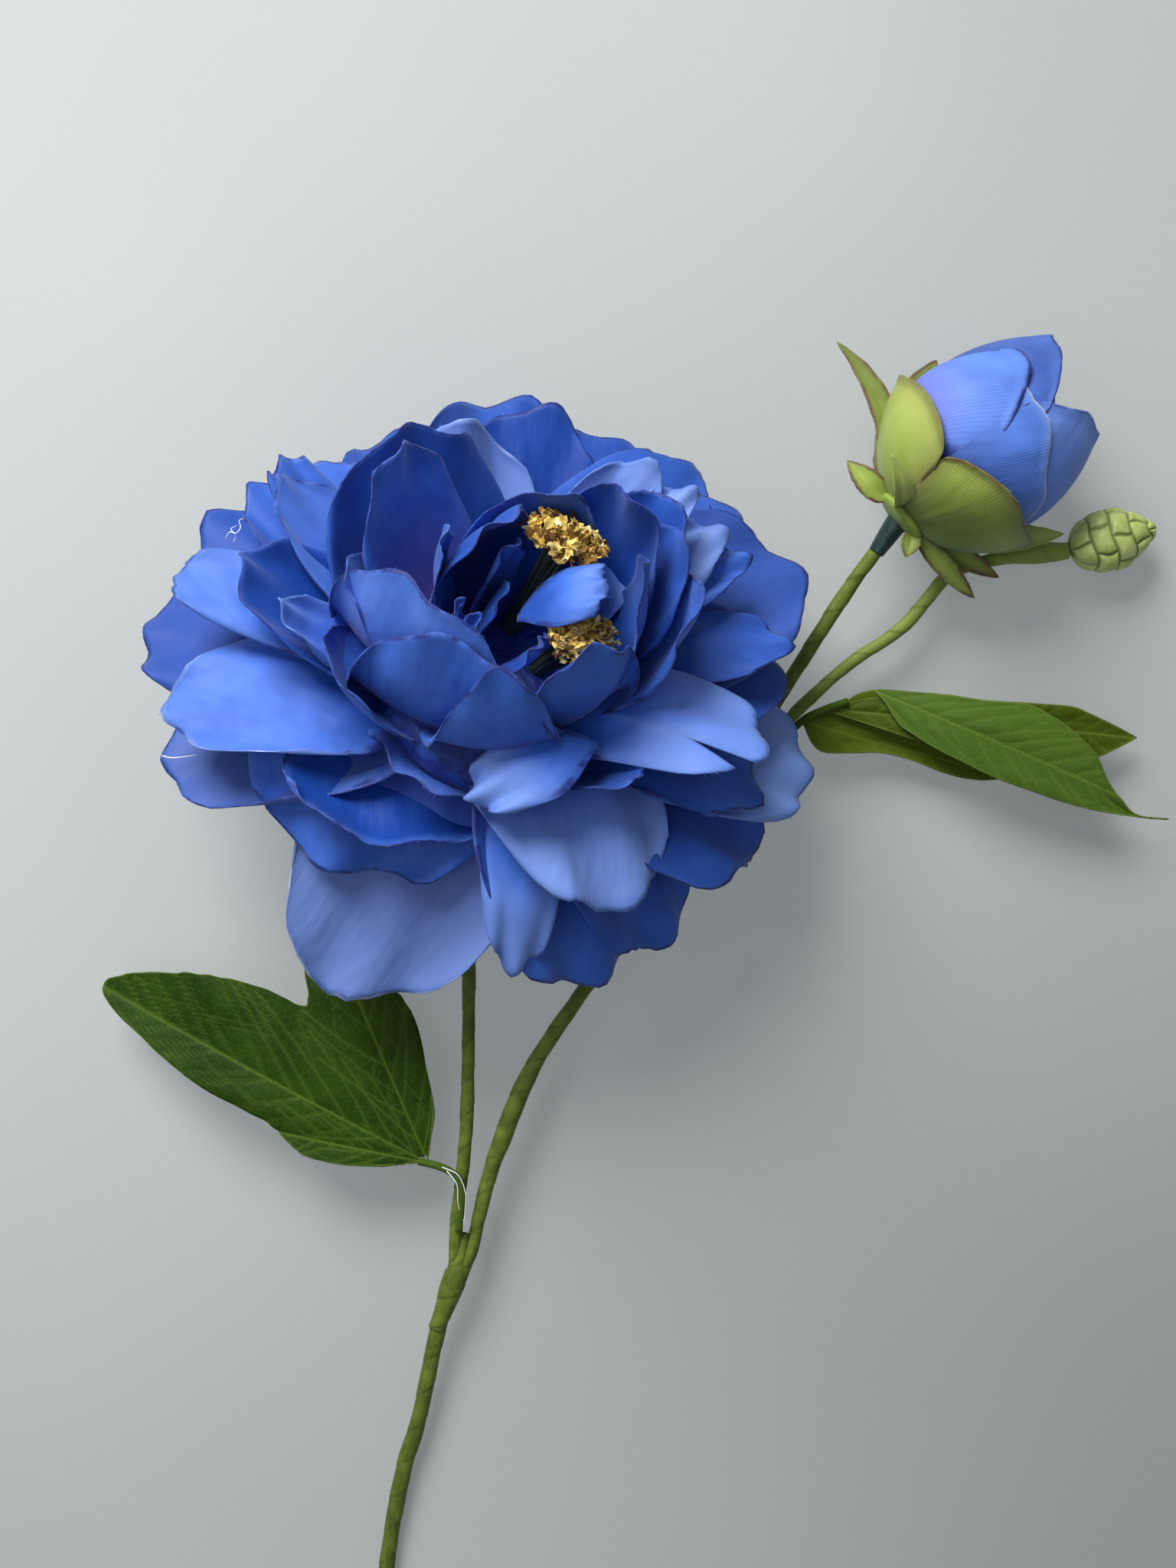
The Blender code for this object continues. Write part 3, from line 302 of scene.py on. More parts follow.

# Dyes: the usual one, where it is pale, where it is deep, the violet and the grey ones, and the cut rim.
# The pale and the deep ones also serve as painted light and painted shade: lit and shaded copies of the dye.
PETAL_DYES = dict(base=(0.040, 0.138, 0.60), pale=(0.175, 0.290, 0.71), deep_dye_and_painted_shade=(0.0005, 0.045, 0.315),
                  violet=(0.17, 0.10, 0.50), grey=(0.12, 0.185, 0.46), rim=(0.008, 0.016, 0.16))
BUD_DYES = dict(base=(0.082, 0.195, 0.66), pale=(0.20, 0.32, 0.76), deep_dye_and_painted_shade=(0.015, 0.040, 0.22),
                violet=(0.26, 0.18, 0.56), grey=(0.12, 0.185, 0.46), rim=(0.012, 0.022, 0.20))
SEPAL_DYES = dict(base=(0.24, 0.33, 0.045), pale=(0.46, 0.52, 0.13), deep_dye_and_painted_shade=(0.05, 0.075, 0.008),
                  violet=(0.20, 0.13, 0.06), grey=(0.16, 0.14, 0.08), rim=(0.13, 0.07, 0.035))
RAW_RIM = (0.52, 0.60, 0.84)
# Step of a noise from one sheet's number to the next, so that no two sheets are alike
SHEET_STEP = 37
# The tones of the golden crumbs, from brown over ochre and yellow to cream
GOLD = ((0.035, 0.014, 0.004), (0.20, 0.085, 0.015), (0.55, 0.34, 0.06), (0.82, 0.60, 0.13),
        (0.88, 0.78, 0.45))


def unit(vector):
    """A vector, or each row of an array of them, at length one."""
    vector = np.asarray(vector, float)
    return vector / np.linalg.norm(vector, axis=-1, keepdims=True)


def across(direction, guide):
    """The part of guide that stands square to direction, as unit vectors."""
    direction, guide = np.broadcast_arrays(np.asarray(direction, float), np.asarray(guide, float))
    return unit(guide - direction * (direction * guide).sum(-1, keepdims=True))


def smoothstep(low, high, value):
    share = np.clip((value - low) / (high - low), 0.0, 1.0)
    return share * share * (3 - 2 * share)


def triples(*values):
    """Three numbers or arrays as one array of triples."""
    return np.stack(np.broadcast_arrays(*values), -1)


def face_directions(grid):
    return unit(np.cross(np.gradient(grid, axis=0), np.gradient(grid, axis=1)) + 1e-12)


def turns(count):
    """Evenly spread angles of a full turn."""
    return np.arange(count) * 2 * math.pi / count


def ring_faces(rings, sides):
    """Faces between rings of points that are closed on themselves."""
    faces = []
    for i in range(rings - 1):
        for j in range(sides):
            a, b = i * sides + j, i * sides + (j + 1) % sides
            faces.append((a, b, b + sides, a + sides))
    return faces


def placed(name, data):
    """A new object of the scene."""
    thing = bpy.data.objects.new(name, data)
    bpy.context.scene.collection.objects.link(thing)
    return thing


class Skin:
    """Collects the sheets and bodies of one piece, with what the material reads at each point."""

    def __init__(self):
        self.points, self.faces, self.cloth, self.look = [], [], [], []
        self.count = 0

    def add(self, points, faces, cloth, look):
        self.faces += [tuple(self.count + k for k in face) for face in faces]
        for values, more in ((self.points, points), (self.cloth, cloth), (self.look, look)):
            values.append(np.asarray(more, float).reshape(-1, 3))
        self.count += len(self.points[-1])

    def sheet(self, grid, cloth, look, thickness):
        """A sheet of cloth round a grid of points, closed at its edges."""
        rise = face_directions(grid) * thickness / 2
        number = np.arange(grid[..., 0].size).reshape(grid.shape[:2])
        corners = [number[:-1, :-1], number[1:, :-1], number[1:, 1:], number[:-1, 1:]]
        front = np.stack(corners, -1).reshape(-1, 4)
        faces = front.tolist() + (front[:, ::-1] + number.size).tolist()
        rim = np.concatenate([number[0], number[1:, -1], number[-1, -2::-1], number[-2:0:-1, 0]]).tolist()
        for a, b in zip(rim, rim[1:] + rim[:1]):
            faces.append((a, b, b + number.size, a + number.size))
        self.add(np.stack([grid + rise, grid - rise]), faces, np.stack([cloth, cloth]), np.stack([look, look]))

    def rings(self, grid, cloth, look):
        """A body of closed rings of points with flat ends."""
        rings, sides = grid.shape[:2]
        ends = [tuple(reversed(range(sides))), tuple(range((rings - 1) * sides, rings * sides))]
        self.add(grid, ring_faces(rings, sides) + ends, cloth, np.broadcast_to(look, grid.shape))

    def piece(self, name, material, node=None, smooth=True):
        """The piece as an object on the part's only body, standing for a node if one is named."""
        mesh = bpy.data.meshes.new(name)
        points = (np.concatenate(self.points) - ORIGIN) * MM
        mesh.from_pydata(points.tolist(), [], self.faces)
        for key, values in (("cloth", self.cloth), ("look", self.look)):
            attribute = mesh.attributes.new(key, "FLOAT_VECTOR", "POINT")
            attribute.data.foreach_set("vector", np.concatenate(values).astype(np.float32).ravel())
        mesh.materials.append(material)
        if smooth:
            mesh.shade_smooth()
        thing = placed(name, mesh)
        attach(thing, "root")
        if node:
            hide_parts(node)


class Finish:
    """A material in the making: shader nodes that end in one Principled shader."""

    def __init__(self, name):
        self.material = bpy.data.materials.new(name)
        self.material.use_nodes = True
        self.tree = self.material.node_tree

    def put(self, socket, value):
        """Links another node's output to an input, or sets the input."""
        if isinstance(value, bpy.types.NodeSocket):
            self.tree.links.new(value, socket)
        else:
            socket.default_value = value

    def add(self, kind, inputs, **settings):
        made = self.tree.nodes.new("ShaderNode" + kind)
        for key, value in settings.items():
            setattr(made, key, value)
        for key, value in inputs.items():
            self.put(made.inputs[key], value)
        return made

    def done(self, inputs):
        """The material, once its shader has the inputs that are given by name."""
        for key, value in inputs.items():
            self.put(self.tree.nodes["Principled BSDF"].inputs[key], value)
        return self.material

    def cloth(self):
        return self.add("Attribute", {}, attribute_name="cloth").outputs["Vector"]

    def look(self):
        return self.split(self.add("Attribute", {}, attribute_name="look").outputs["Vector"])

    def where(self):
        return self.add("TexCoord", {}).outputs["Object"]

    def split(self, vector):
        return self.add("SeparateXYZ", {0: vector}).outputs

    def calc(self, operation, a, b=0.0, c=0.0):
        return self.add("Math", {0: a, 1: b, 2: c}, operation=operation).outputs[0]

    def step(self, value, low, high, start=0.0, end=1.0):
        """A soft step from start to end while the value goes from low to high."""
        return self.add("MapRange", {"Value": value, "From Min": low, "From Max": high, "To Min": start,
                                     "To Max": end}, interpolation_type="SMOOTHSTEP").outputs["Result"]

    def mix(self, factor, a, b):
        """A mix of two colours, which are three numbers or another node's output."""
        a, b = [c if isinstance(c, bpy.types.NodeSocket) else (*c, 1.0) for c in (a, b)]
        return self.add("Mix", {0: factor, 6: a, 7: b}, data_type="RGBA").outputs[2]

    def blend(self, colour, other, value, low=0.3, high=0.7, start=0.0, end=1.0):
        """A colour whose share of another one goes from start to end while the value goes from low to high."""
        return self.mix(self.step(value, low, high, start, end), colour, other)

    def tinted(self, colour, amount, more, less):
        """A colour mixed towards more where the amount is above zero, and towards less where it is below."""
        colour = self.mix(self.calc("MAXIMUM", amount, 0.0), colour, more)
        below = self.calc("MULTIPLY", amount, -1.0)
        return self.mix(self.calc("MAXIMUM", below, 0.0), colour, less)

    def noise(self, vector, scale, detail=3.0, roughness=0.6, squash=(1, 1, 1)):
        squashed = self.add("Mapping", {"Vector": vector, "Scale": squash}).outputs[0]
        inputs = {"Vector": squashed, "Scale": scale, "Detail": detail, "Roughness": roughness}
        return self.add("TexNoise", inputs).outputs["Fac"]

    def bump(self, height, strength, distance, **more):
        """Relief of a height, which is distance metres at full strength."""
        inputs = {"Height": height, "Strength": strength, "Distance": distance, **more}
        return self.add("Bump", inputs).outputs[0]


def waves_over(draw, u, v, count, low, high):
    """A smooth uneven surface over a sheet: a few waves of random direction and phase, between -1 and 1."""
    total = np.zeros(np.broadcast(u, v).shape)
    for _ in range(count):
        total = total + np.sin(draw.uniform(low, high) * u * draw.choice([-1, 1])
                               + draw.uniform(low, high) * v + draw.uniform(0, 2 * math.pi))
    return total / count


def rounded_end(v, top, square, skew):
    """How far a sheet reaches at the places v from side to side; top says how round and square how blunt."""
    return (1 - top * (1 - np.sqrt(np.maximum(0.0, 1 - np.abs(v) ** square)))) * (1 + skew * v)


def bowed(foot, middle, tip, normal, share, half, bend, lift):
    """A sheet whose midrib bows from foot to tip; half is the way across it, which bend curves to normal."""
    t = share[..., None]
    place = (1 - t) ** 2 * foot + 2 * t * (1 - t) * middle + t ** 2 * tip
    ahead = unit(2 * (1 - t) * (middle - foot) + 2 * t * (tip - middle))
    up = across(ahead, normal)
    lift = (1 - np.cos(bend * half)) / bend + lift
    grid = place + np.cross(ahead, up) * (np.sin(bend * half) / bend)[..., None] + up * lift[..., None]
    grid[..., 2] = np.maximum(grid[..., 2], FLOOR)
    return grid


def petal_sheet(index, tip, width, rise, cup, pale, root=None, face=BLOOM_AXIS, top=0.42, square=2.2, skew=0.0,
                phase=1.0, notch=None, wave=0.8, violet=0.0, grey=0.0, scallop=1.0, pleat=1.0, curl=None,
                light_rim=None, band=0.0):
    """One petal as in the part's source, with the ruffles, pleats and ragged rim of real cloth."""
    draw = np.random.default_rng(SEED * 1000 + index)
    tip = np.array(tip, float)
    if root is None:
        root = BLOOM_CENTRE + across(BLOOM_AXIS, tip - BLOOM_CENTRE) * ROOT_RING
    root = np.array(root, float)
    length = np.linalg.norm(tip - root)
    normal = across(unit(tip - root), face)
    size = min(1.0, width / FULL_WIDTH)

    v = np.linspace(-1, 1, PETAL_STRANDS)
    v = (np.sin(v * math.pi / 2) * 0.85 + v * 0.15)[None, :]
    u = (np.linspace(0, 1, PETAL_ROWS) ** 0.85)[:, None]
    reach = rounded_end(v, top, square, skew) * (1 + RUFFLE * np.sin(RUFFLE_WAVES * v + phase))
    if notch:
        place, depth, breadth = notch
        reach = reach * (1 - depth * np.exp(-((v - place) / breadth) ** 2))
    turned = np.arcsin(v)
    for height, shrinks, *waves in RIM_WAVES:
        height = height * scallop * (size if shrinks else 1.0)
        reach = reach + height * waves_over(draw, 0.0, turned, *waves) / length

    spread = FOOT + (1 - FOOT) * np.sin(np.minimum(u / WIDEST, 1.0) * math.pi / 2) ** 1.2
    spread = spread * (1 - RIM_DRAWN_IN * (np.maximum(0.0, u - WIDEST) / (1 - WIDEST)) ** 2)
    half = width / 2 * v * spread
    bend = np.radians(cup * (1 - u) + cup * RIM_CUP * u) / width
    edge = (np.maximum(0.0, u - RIM_START) / (1 - RIM_START)) ** 2
    lift = wave * np.sin(RUFFLE_WAVES * v * 1.3 + phase * 2) * edge
    for height, where, run, *waves in ((1.3, u ** 1.5, 0.25, 3, 3, 9), (0.7, edge, 0.5, 3, 5, 12),
                                       (0.28, np.sqrt(u), 1.0, 4, 6, 14)):
        lift = lift + height * size * pleat * where * waves_over(draw, u * run, v, *waves)
    if curl is None:
        curl = draw.uniform(-1.6, 1.0) * size
    curled = np.maximum(0.0, (u - WIDEST) / (1 - WIDEST)) ** 2
    curled = curled + 0.6 * np.maximum(0.0, np.abs(v) - 0.75) / 0.25 * u
    middle = (root + tip) / 2 + normal * 2 * rise
    grid = bowed(root, middle, tip, normal, u * reach, half, bend, lift - curl * curled)

    from_rim = np.minimum((1 - u) * reach * length, (1 - np.abs(v)) * width / 2 * spread)
    on = u * reach * length
    bias = draw.uniform(-0.7, 0.7)
    cosine, sine = math.cos(bias), math.sin(bias)
    cloth = triples(half * cosine - on * sine, half * sine + on * cosine, index)
    if light_rim is None:
        light_rim = draw.choice([0.0, 0.0, 0.35, 0.8])
    # Painted shade: the petal is dyed darker towards its foot, and its pale share is partly painted light and
    # shade
    dye_and_painted_light = pale - ROOT_PAINTED_SHADE * smoothstep(0.9, 0.2, u) + band * np.exp(-(from_rim / 2.4) ** 2)
    patchy = 0.6 + 0.4 * waves_over(draw, 0.0, turned, 3, 6, 20)
    dye_and_painted_light = dye_and_painted_light + light_rim * np.exp(-from_rim / 0.5) * patchy
    return grid, cloth, triples(from_rim, dye_and_painted_light, violet * smoothstep(0.85, 0.2, u) - grey)


def fabric(name, base, pale, deep_dye_and_painted_shade, violet, grey, rim, pitch=0.34, sheen=0.12):
    """Fine ribbed cloth, dyed unevenly and darker along its cut rim.

    look: its shares say how pale or, below zero, how deep, and how violet or, below zero, how grey the dye is.
    The first share also carries painted light and painted shade, for which the pale and deep dyes are lit and
    shaded copies of the cloth.
    """
    make = Finish(name)
    cloth, look = make.cloth(), make.look()
    place = make.split(cloth)
    blotch = make.noise(cloth, 0.09, 3.0, 0.55, (1, 1, SHEET_STEP))
    streak = make.noise(cloth, 0.5, 3.0, 0.6, (1.0, 0.12, SHEET_STEP))
    shades = {share: [c * share for c in base] for share in (0.62, 0.86, 1.10, 1.25)}
    dye = make.blend(shades[0.86], shades[1.10], blotch)
    dye = make.blend(dye, shades[1.25], streak, 0.35, 0.75, 0.0, 0.35)
    own = make.add("TexWhiteNoise", {"W": place[2]}, noise_dimensions="1D").outputs["Value"]
    tone = make.calc("MULTIPLY_ADD", own, 0.2, make.calc("SUBTRACT", look[1], 0.1))
    tone = make.calc("MULTIPLY_ADD", blotch, 0.6, make.calc("SUBTRACT", tone, 0.3))
    # Painted light and shade: the tone mixes the dye towards the pale lit copy or the deep shaded copy
    dye = make.tinted(dye, tone, pale, deep_dye_and_painted_shade)
    dye = make.tinted(dye, look[2], violet, grey)
    from_rim = make.calc("ADD", look[0], make.calc("MULTIPLY_ADD", streak, 0.5, -0.25))
    patches = make.noise(cloth, 0.35, 2.0, 0.5, (1, 1, SHEET_STEP))
    thin_rim = make.step(from_rim, 0.25, 0.85, 0.95, 0.0)
    thin_rim = make.calc("MULTIPLY", thin_rim, make.step(patches, 0.35, 0.6, 0.25, 1.0))
    thin_rim = make.calc("MULTIPLY", thin_rim, make.step(look[1], 0.3, 0.9, 1.0, 0.0))
    dye = make.blend(dye, shades[0.62], from_rim, 0.0, 3.0, 0.45, 0.0)
    dye = make.mix(thin_rim, dye, rim)
    dye = make.blend(dye, RAW_RIM, look[1], 1.2, 2.2)

    rib, yarn = [make.calc("SINE", make.calc("MULTIPLY", where, 2 * math.pi / width))
                 for where, width in ((place[0], pitch), (place[1], pitch * 0.7))]
    thread = make.noise(cloth, 1.0, 2.0, 0.5, (6.0, 0.5, SHEET_STEP))
    height = make.calc("MULTIPLY_ADD", thread, 1.2, make.calc("MULTIPLY_ADD", yarn, 0.35, rib))
    creased = make.bump(make.noise(cloth, 0.13, 2.5, 0.5, (1.0, 0.4, SHEET_STEP)), 0.5, 0.0025)
    return make.done({"Base Color": dye, "Normal": make.bump(height, 0.2, 0.00005, Normal=creased),
                      "Roughness": 0.58, "Specular IOR Level": 0.4, "Sheen Weight": sheen,
                      "Sheen Roughness": 0.45, "Sheen Tint": (0.75, 0.82, 1.0, 1.0)})


def fray(skin, grid, index, count, pale=0.5):
    """Short threads that stand out from a sheet's cut rim."""
    draw = np.random.default_rng(SEED * 7 + index)
    rim = grid[-1]
    outwards = unit(grid[-1] - grid[-4])
    for _ in range(count):
        place = draw.uniform(1, len(rim) - 2)
        k = int(place)
        start = rim[k] + (rim[k + 1] - rim[k]) * (place - k)
        lean = unit(outwards[k] + draw.normal(0, 0.7, 3))
        aside = across(lean, draw.normal(size=3)) * draw.uniform(0.025, 0.04)
        reach = draw.choice(THREADS[0], p=THREADS[1])
        middle = start + lean * reach * 0.55
        end = middle + unit(lean + draw.normal(0, 0.5, 3)) * reach * 0.45
        points = [start - aside, start + aside, middle + aside * 0.8, middle - aside * 0.8, end]
        marks = np.tile((3.0, pale * draw.uniform(0.3, 1.0), 0.0), (5, 1))
        skin.add(points, [(0, 1, 2, 3), (3, 2, 4)], np.zeros((5, 3)), marks)


def bloom(look):
    """The open bloom's petals in three layers, each of them one piece."""
    index = 0
    for layer, table in (("outer", OUTER_PETALS), ("middle", MIDDLE_PETALS), ("inner", INNER_PETALS)):
        skin = Skin()
        for tip, width, *shape, more in table:
            sheet = petal_sheet(index, tip, width, *shape, **more)
            skin.sheet(*sheet, CLOTH)
            fray(skin, sheet[0], index, int(width))
            index += 1
        if layer == "outer":
            # Painted shade: the receptacle is dyed the dark navy of the cut rim and the deep dye, for the shade
            # in the bloom's heart
            seat = BLOOM_CENTRE + BLOOM_AXIS * RECEPTACLE_LIFT
            ball_body(skin, seat, RECEPTACLE, BLOOM_AXIS, RECEPTACLE_FLATNESS, look=(0.2, -1.0, 0.0))
        skin.piece("petals_" + layer, look, "bloom_petals")


def smooth_route(points, step):
    """A Catmull-Rom curve through the points, read every step millimetres or so."""
    points = np.asarray(points, float)
    padded = np.vstack([2 * points[0] - points[1], points, 2 * points[-1] - points[-2]])
    route = []
    for k in range(1, len(padded) - 2):
        p0, p1, p2, p3 = padded[k - 1:k + 3]
        count = max(1, round(np.linalg.norm(p2 - p1) / step))
        t = (np.arange(count) / count)[:, None]
        route.append(0.5 * (2 * p1 + (p2 - p0) * t + (2 * p0 - 5 * p1 + 4 * p2 - p3) * t ** 2
                            + (3 * p1 - p0 - 3 * p2 + p3) * t ** 3))
    route.append(points[-1:])
    return np.concatenate(route)


def lengths_along(route):
    return np.concatenate([[0.0], np.cumsum(np.linalg.norm(np.diff(route, axis=0), axis=1))])


def tube_body(skin, route, radius, sides=24, number=0, look=(INSIDE, 0.0, 0.0)):
    """A round bar along a route; radius is one number, one for each point, or one for each point and side."""
    directions = unit(np.gradient(route, axis=0))
    side = [across(directions[0], (0.0, 0.05, 1.0))]
    for direction in directions:
        side.append(across(direction, side[-1]))
    side = np.array(side[1:])
    other = np.cross(directions, side)
    angles = turns(sides)
    radius = np.asarray(radius, float)
    if radius.ndim < 2:
        radius = radius.reshape(-1, 1)
    ring = np.cos(angles)[None, :, None] * side[:, None] + np.sin(angles)[None, :, None] * other[:, None]
    cloth = triples(angles, lengths_along(route)[:, None], number)
    skin.rings(route[:, None] + ring * radius[..., None], cloth, look)


def ball_body(skin, centre, radius, axis, stretch, levels=24, sides=48, look=(INSIDE, 0.0, 0.0)):
    """A closed round body, stretched along its axis."""
    axis = unit(axis)
    polar = np.linspace(0.02, math.pi - 0.02, levels)[:, None, None]
    side = across(axis, (0.31, -0.9, 0.12))
    angles = turns(sides)[None, :, None]
    ring = np.cos(angles) * side + np.sin(angles) * np.cross(axis, side)
    grid = centre - axis * (radius * stretch * np.cos(polar)) + ring * (radius * np.sin(polar))
    skin.rings(grid, triples(angles[..., 0] * radius, polar[..., 0] * radius, 90.0), look)


def stem_tape():
    """Waxed floral tape, stretched and wound: uneven green with a darker line along the edge of each turn.

    look: its first share says how dark or, below zero, how pale the tape is; the small bud's branch is paled
    partly as painted light against the bud's shadow on it.
    """
    make = Finish("floral_tape")
    green = make.blend((0.055, 0.088, 0.008), (0.125, 0.165, 0.020), make.noise(make.where(), 260.0))
    fine = make.noise(make.cloth(), 1.2, squash=(4.0, 0.35, 1.0))
    green = make.blend(green, (0.17, 0.21, 0.04), fine, 0.45, 0.8, 0.0, 0.5)
    green = make.tinted(green, make.look()[1], (0.03, 0.045, 0.012), (0.23, 0.30, 0.06))
    return make.done({"Base Color": green, "Normal": make.bump(fine, 0.5, 0.0001), "Roughness": 0.55,
                      "Specular IOR Level": 0.2})


def taped(skin, points, number, radius, end_radius, swellings, pale=0.0, step=0.45, sides=28):
    """A taped stem: the tape's spiral makes a low step at each turn, and the radius wanders a little."""
    draw = np.random.default_rng(SEED * 77 + number)
    route = smooth_route(points, step)
    length = lengths_along(route)
    drift = 0.8 * np.sin(length / 23 + draw.uniform(0, 6)) + 0.5 * np.sin(length / 9 + draw.uniform(0, 6))
    turn = ((length + drift * 1.6)[:, None] / TAPE_PITCH - turns(sides) / (2 * math.pi)) % 1.0
    lap = TAPE_STEP * (smoothstep(0.0, 0.07, turn) - turn * 0.9)
    base = np.linspace(radius, end_radius, len(route))
    base = base + 0.05 * np.sin(length / 5.3 + number) + 0.04 * np.sin(length / 2.1 + number * 2)
    for at, breadth, height in swellings:
        base = base + height * np.exp(-((length - at) / breadth) ** 2)
    dark = 0.55 * np.exp(-(turn / 0.05) ** 2) + 0.3 * np.exp(-((1 - turn) / 0.03) ** 2)
    # Painted light: pale lightens the tape towards its end, on the small bud's branch against the bud's shadow
    dark = dark - pale * np.linspace(0, 1, len(route))[:, None]
    tube_body(skin, route, base[:, None] + lap, sides, number, triples(INSIDE, dark, 0.0))


def stems(tape):
    """The taped trunk, the three branches and the tape that binds them at the fork."""
    for number, (name, node, points, *shape) in enumerate(TAPED_STEMS):
        skin = Skin()
        taped(skin, points, number, *shape)
        skin.piece(name, tape, node)
    skin = Skin()
    taped(skin, FORK, 9, 1.7, 0.6, ((11.0, 6.0, 1.4),), step=0.35)
    skin.piece("fork_tape", tape)


def glue_threads(look):
    """The thin threads that hot glue left on the flower."""
    skin = Skin()
    for number, points in enumerate(GLUE_THREADS):
        route = smooth_route(points, 0.35)
        radii = np.interp(np.linspace(0, 1, len(route)), *GLUE_RADII)
        tube_body(skin, route, radii, 8, number)
    skin.piece("glue_threads", look)


def leaf_plastic():
    """Moulded leaf: dark green with sunk paler veins, a fine net between them and a satin skin.

    look: its shares say how strong the vein is, and how pale or, below zero, how olive the leaf is.
    """
    make = Finish("leaf_plastic_look")
    cloth, look = make.cloth(), make.look()
    blotch = make.noise(cloth, 0.07, squash=(1, 1, 13))
    green = make.blend((0.011, 0.030, 0.001), (0.022, 0.055, 0.002), blotch)
    wobble = make.add("TexNoise", {"Vector": cloth, "Scale": 0.5}).outputs["Color"]
    warped = make.add("VectorMath", {0: cloth, 1: wobble}, operation="ADD").outputs[0]
    net = make.add("TexVoronoi", {"Vector": warped, "Scale": 0.75}, feature="DISTANCE_TO_EDGE")
    net = make.step(net.outputs["Distance"], 0.0, 0.09, 1.0, 0.0)
    green = make.tinted(green, look[2], (0.085, 0.155, 0.020), (0.085, 0.115, 0.006))
    green = make.mix(make.calc("MULTIPLY", net, 0.14), green, (0.10, 0.17, 0.02))
    green = make.mix(make.calc("MULTIPLY", look[1], 0.45), green, (0.15, 0.22, 0.03))
    green = make.blend(green, (0.13, 0.18, 0.04), look[0], 0.1, 0.5, 0.55, 0.0)
    height = make.calc("MULTIPLY_ADD", net, -0.7, make.noise(cloth, 2.2, 2.0, 0.5))
    return make.done({"Base Color": green, "Normal": make.bump(height, 0.4, 0.00012), "Roughness": 0.55,
                      "Specular IOR Level": 0.08})


def vein_lines(foot, tip, count, lean, reach, bow):
    """The midrib from foot to tip and its side veins, as flat polylines with their strength."""
    foot, tip = np.array(foot[:2], float), np.array(tip[:2], float)
    length = np.linalg.norm(tip - foot)
    ahead = (tip - foot) / length
    aside = np.array([-ahead[1], ahead[0]])
    steps = np.linspace(0, 1, 9)[:, None]
    lines = [(foot + (tip - foot) * steps, 1.0)]
    draw = np.random.default_rng(int(length * 10))
    for k in range(count):
        for way in (-1, 1):
            start = (k + 0.55 + 0.25 * way + draw.uniform(-0.25, 0.25)) / (count + 0.6)
            run = reach * length * math.sin(math.pi * min(1.0, start * 0.9 + 0.12)) ** 0.7
            run = run * draw.uniform(0.8, 1.2)
            turned = math.radians(lean) + draw.uniform(-0.12, 0.12)
            out = run * (steps * math.sin(turned))
            on = run * (steps * math.cos(turned) + bow * steps ** 2)
            line = foot + ahead * (start * length + on) + aside * way * out
            lines.append((line, draw.uniform(0.35, 0.6)))
            twig = (aside * way * draw.choice([-0.3, 0.9]) + ahead) * run * 0.35 * steps
            lines.append((line[draw.integers(3, 6)] + twig, 0.3))
    return lines


def leaf_sheet(skin, grid, lines, number, from_rim, tint=0.0):
    """A leaf blade with its veins sunk in and the flesh between them puffed up."""
    points = grid[..., None, :2]
    strength, nearest = np.zeros(from_rim.shape), np.full(from_rim.shape, 99.0)
    for line, power in lines:
        start, run = line[:-1], np.diff(line, axis=0)
        share = ((points - start) * run).sum(-1) / (run * run).sum(1)
        closest = start + run * np.clip(share, 0, 1)[..., None]
        distance = np.linalg.norm(points - closest, axis=-1).min(-1)
        breadth = VEIN_WIDTH * (0.5 + 0.5 * power)
        strength = np.maximum(strength, power * np.exp(-(distance / breadth) ** 2))
        nearest = np.minimum(nearest, distance)
    normal = face_directions(grid)
    normal = normal * np.sign(normal[..., 2:] + 1e-9)
    puff = PUFF * (1 - np.exp(-(nearest / 2.0) ** 2)) * np.clip(from_rim / 2.0, 0, 1)
    grid = grid + normal * (puff - VEIN_DEPTH * strength)[..., None]
    skin.sheet(grid, triples(grid[..., 0], grid[..., 1], number), triples(from_rim, strength, tint), LEAF)


def left_leaf_grid(rows=150, columns=190):
    """Points of the left leaf, which fans out from its foot, and how far each is from the rim."""
    draw = np.random.default_rng(SEED + 31)
    outline = smooth_route([(direction, reach, 0) for direction, reach in LEFT_LEAF_OUTLINE], 1.0)
    directions = np.linspace(LEFT_LEAF_OUTLINE[0][0], LEFT_LEAF_OUTLINE[-1][0], columns)
    reach = np.interp(directions, outline[:, 0], outline[:, 1])
    reach = reach + 0.35 * waves_over(draw, 0.0, directions, 4, 1.0, 3.0)
    u = np.linspace(0.03, 1, rows)[:, None]
    out = reach * u
    turn = np.radians(directions)
    height = LEFT_LEAF_FOOT[2] + LEAF_ARCH * np.sin(math.pi * out / 90) - LEAF_FALL * (out / 80) ** 2
    near_rib = np.min([np.abs(directions - direction) for direction, _, _ in LEFT_LEAF_RIBS], axis=0)
    height = height + np.minimum(near_rib, 9) / 9 * out / 40
    height = height + 0.5 * u ** 2 * waves_over(draw, u, directions / 14, 3, 2, 5)
    grid = triples(LEFT_LEAF_FOOT[0] + out * np.cos(turn), LEFT_LEAF_FOOT[1] + out * np.sin(turn), height)
    ends = np.minimum(directions - directions[0], directions[-1] - directions)
    return grid, np.minimum((1 - u) * reach, np.radians(ends) * out)


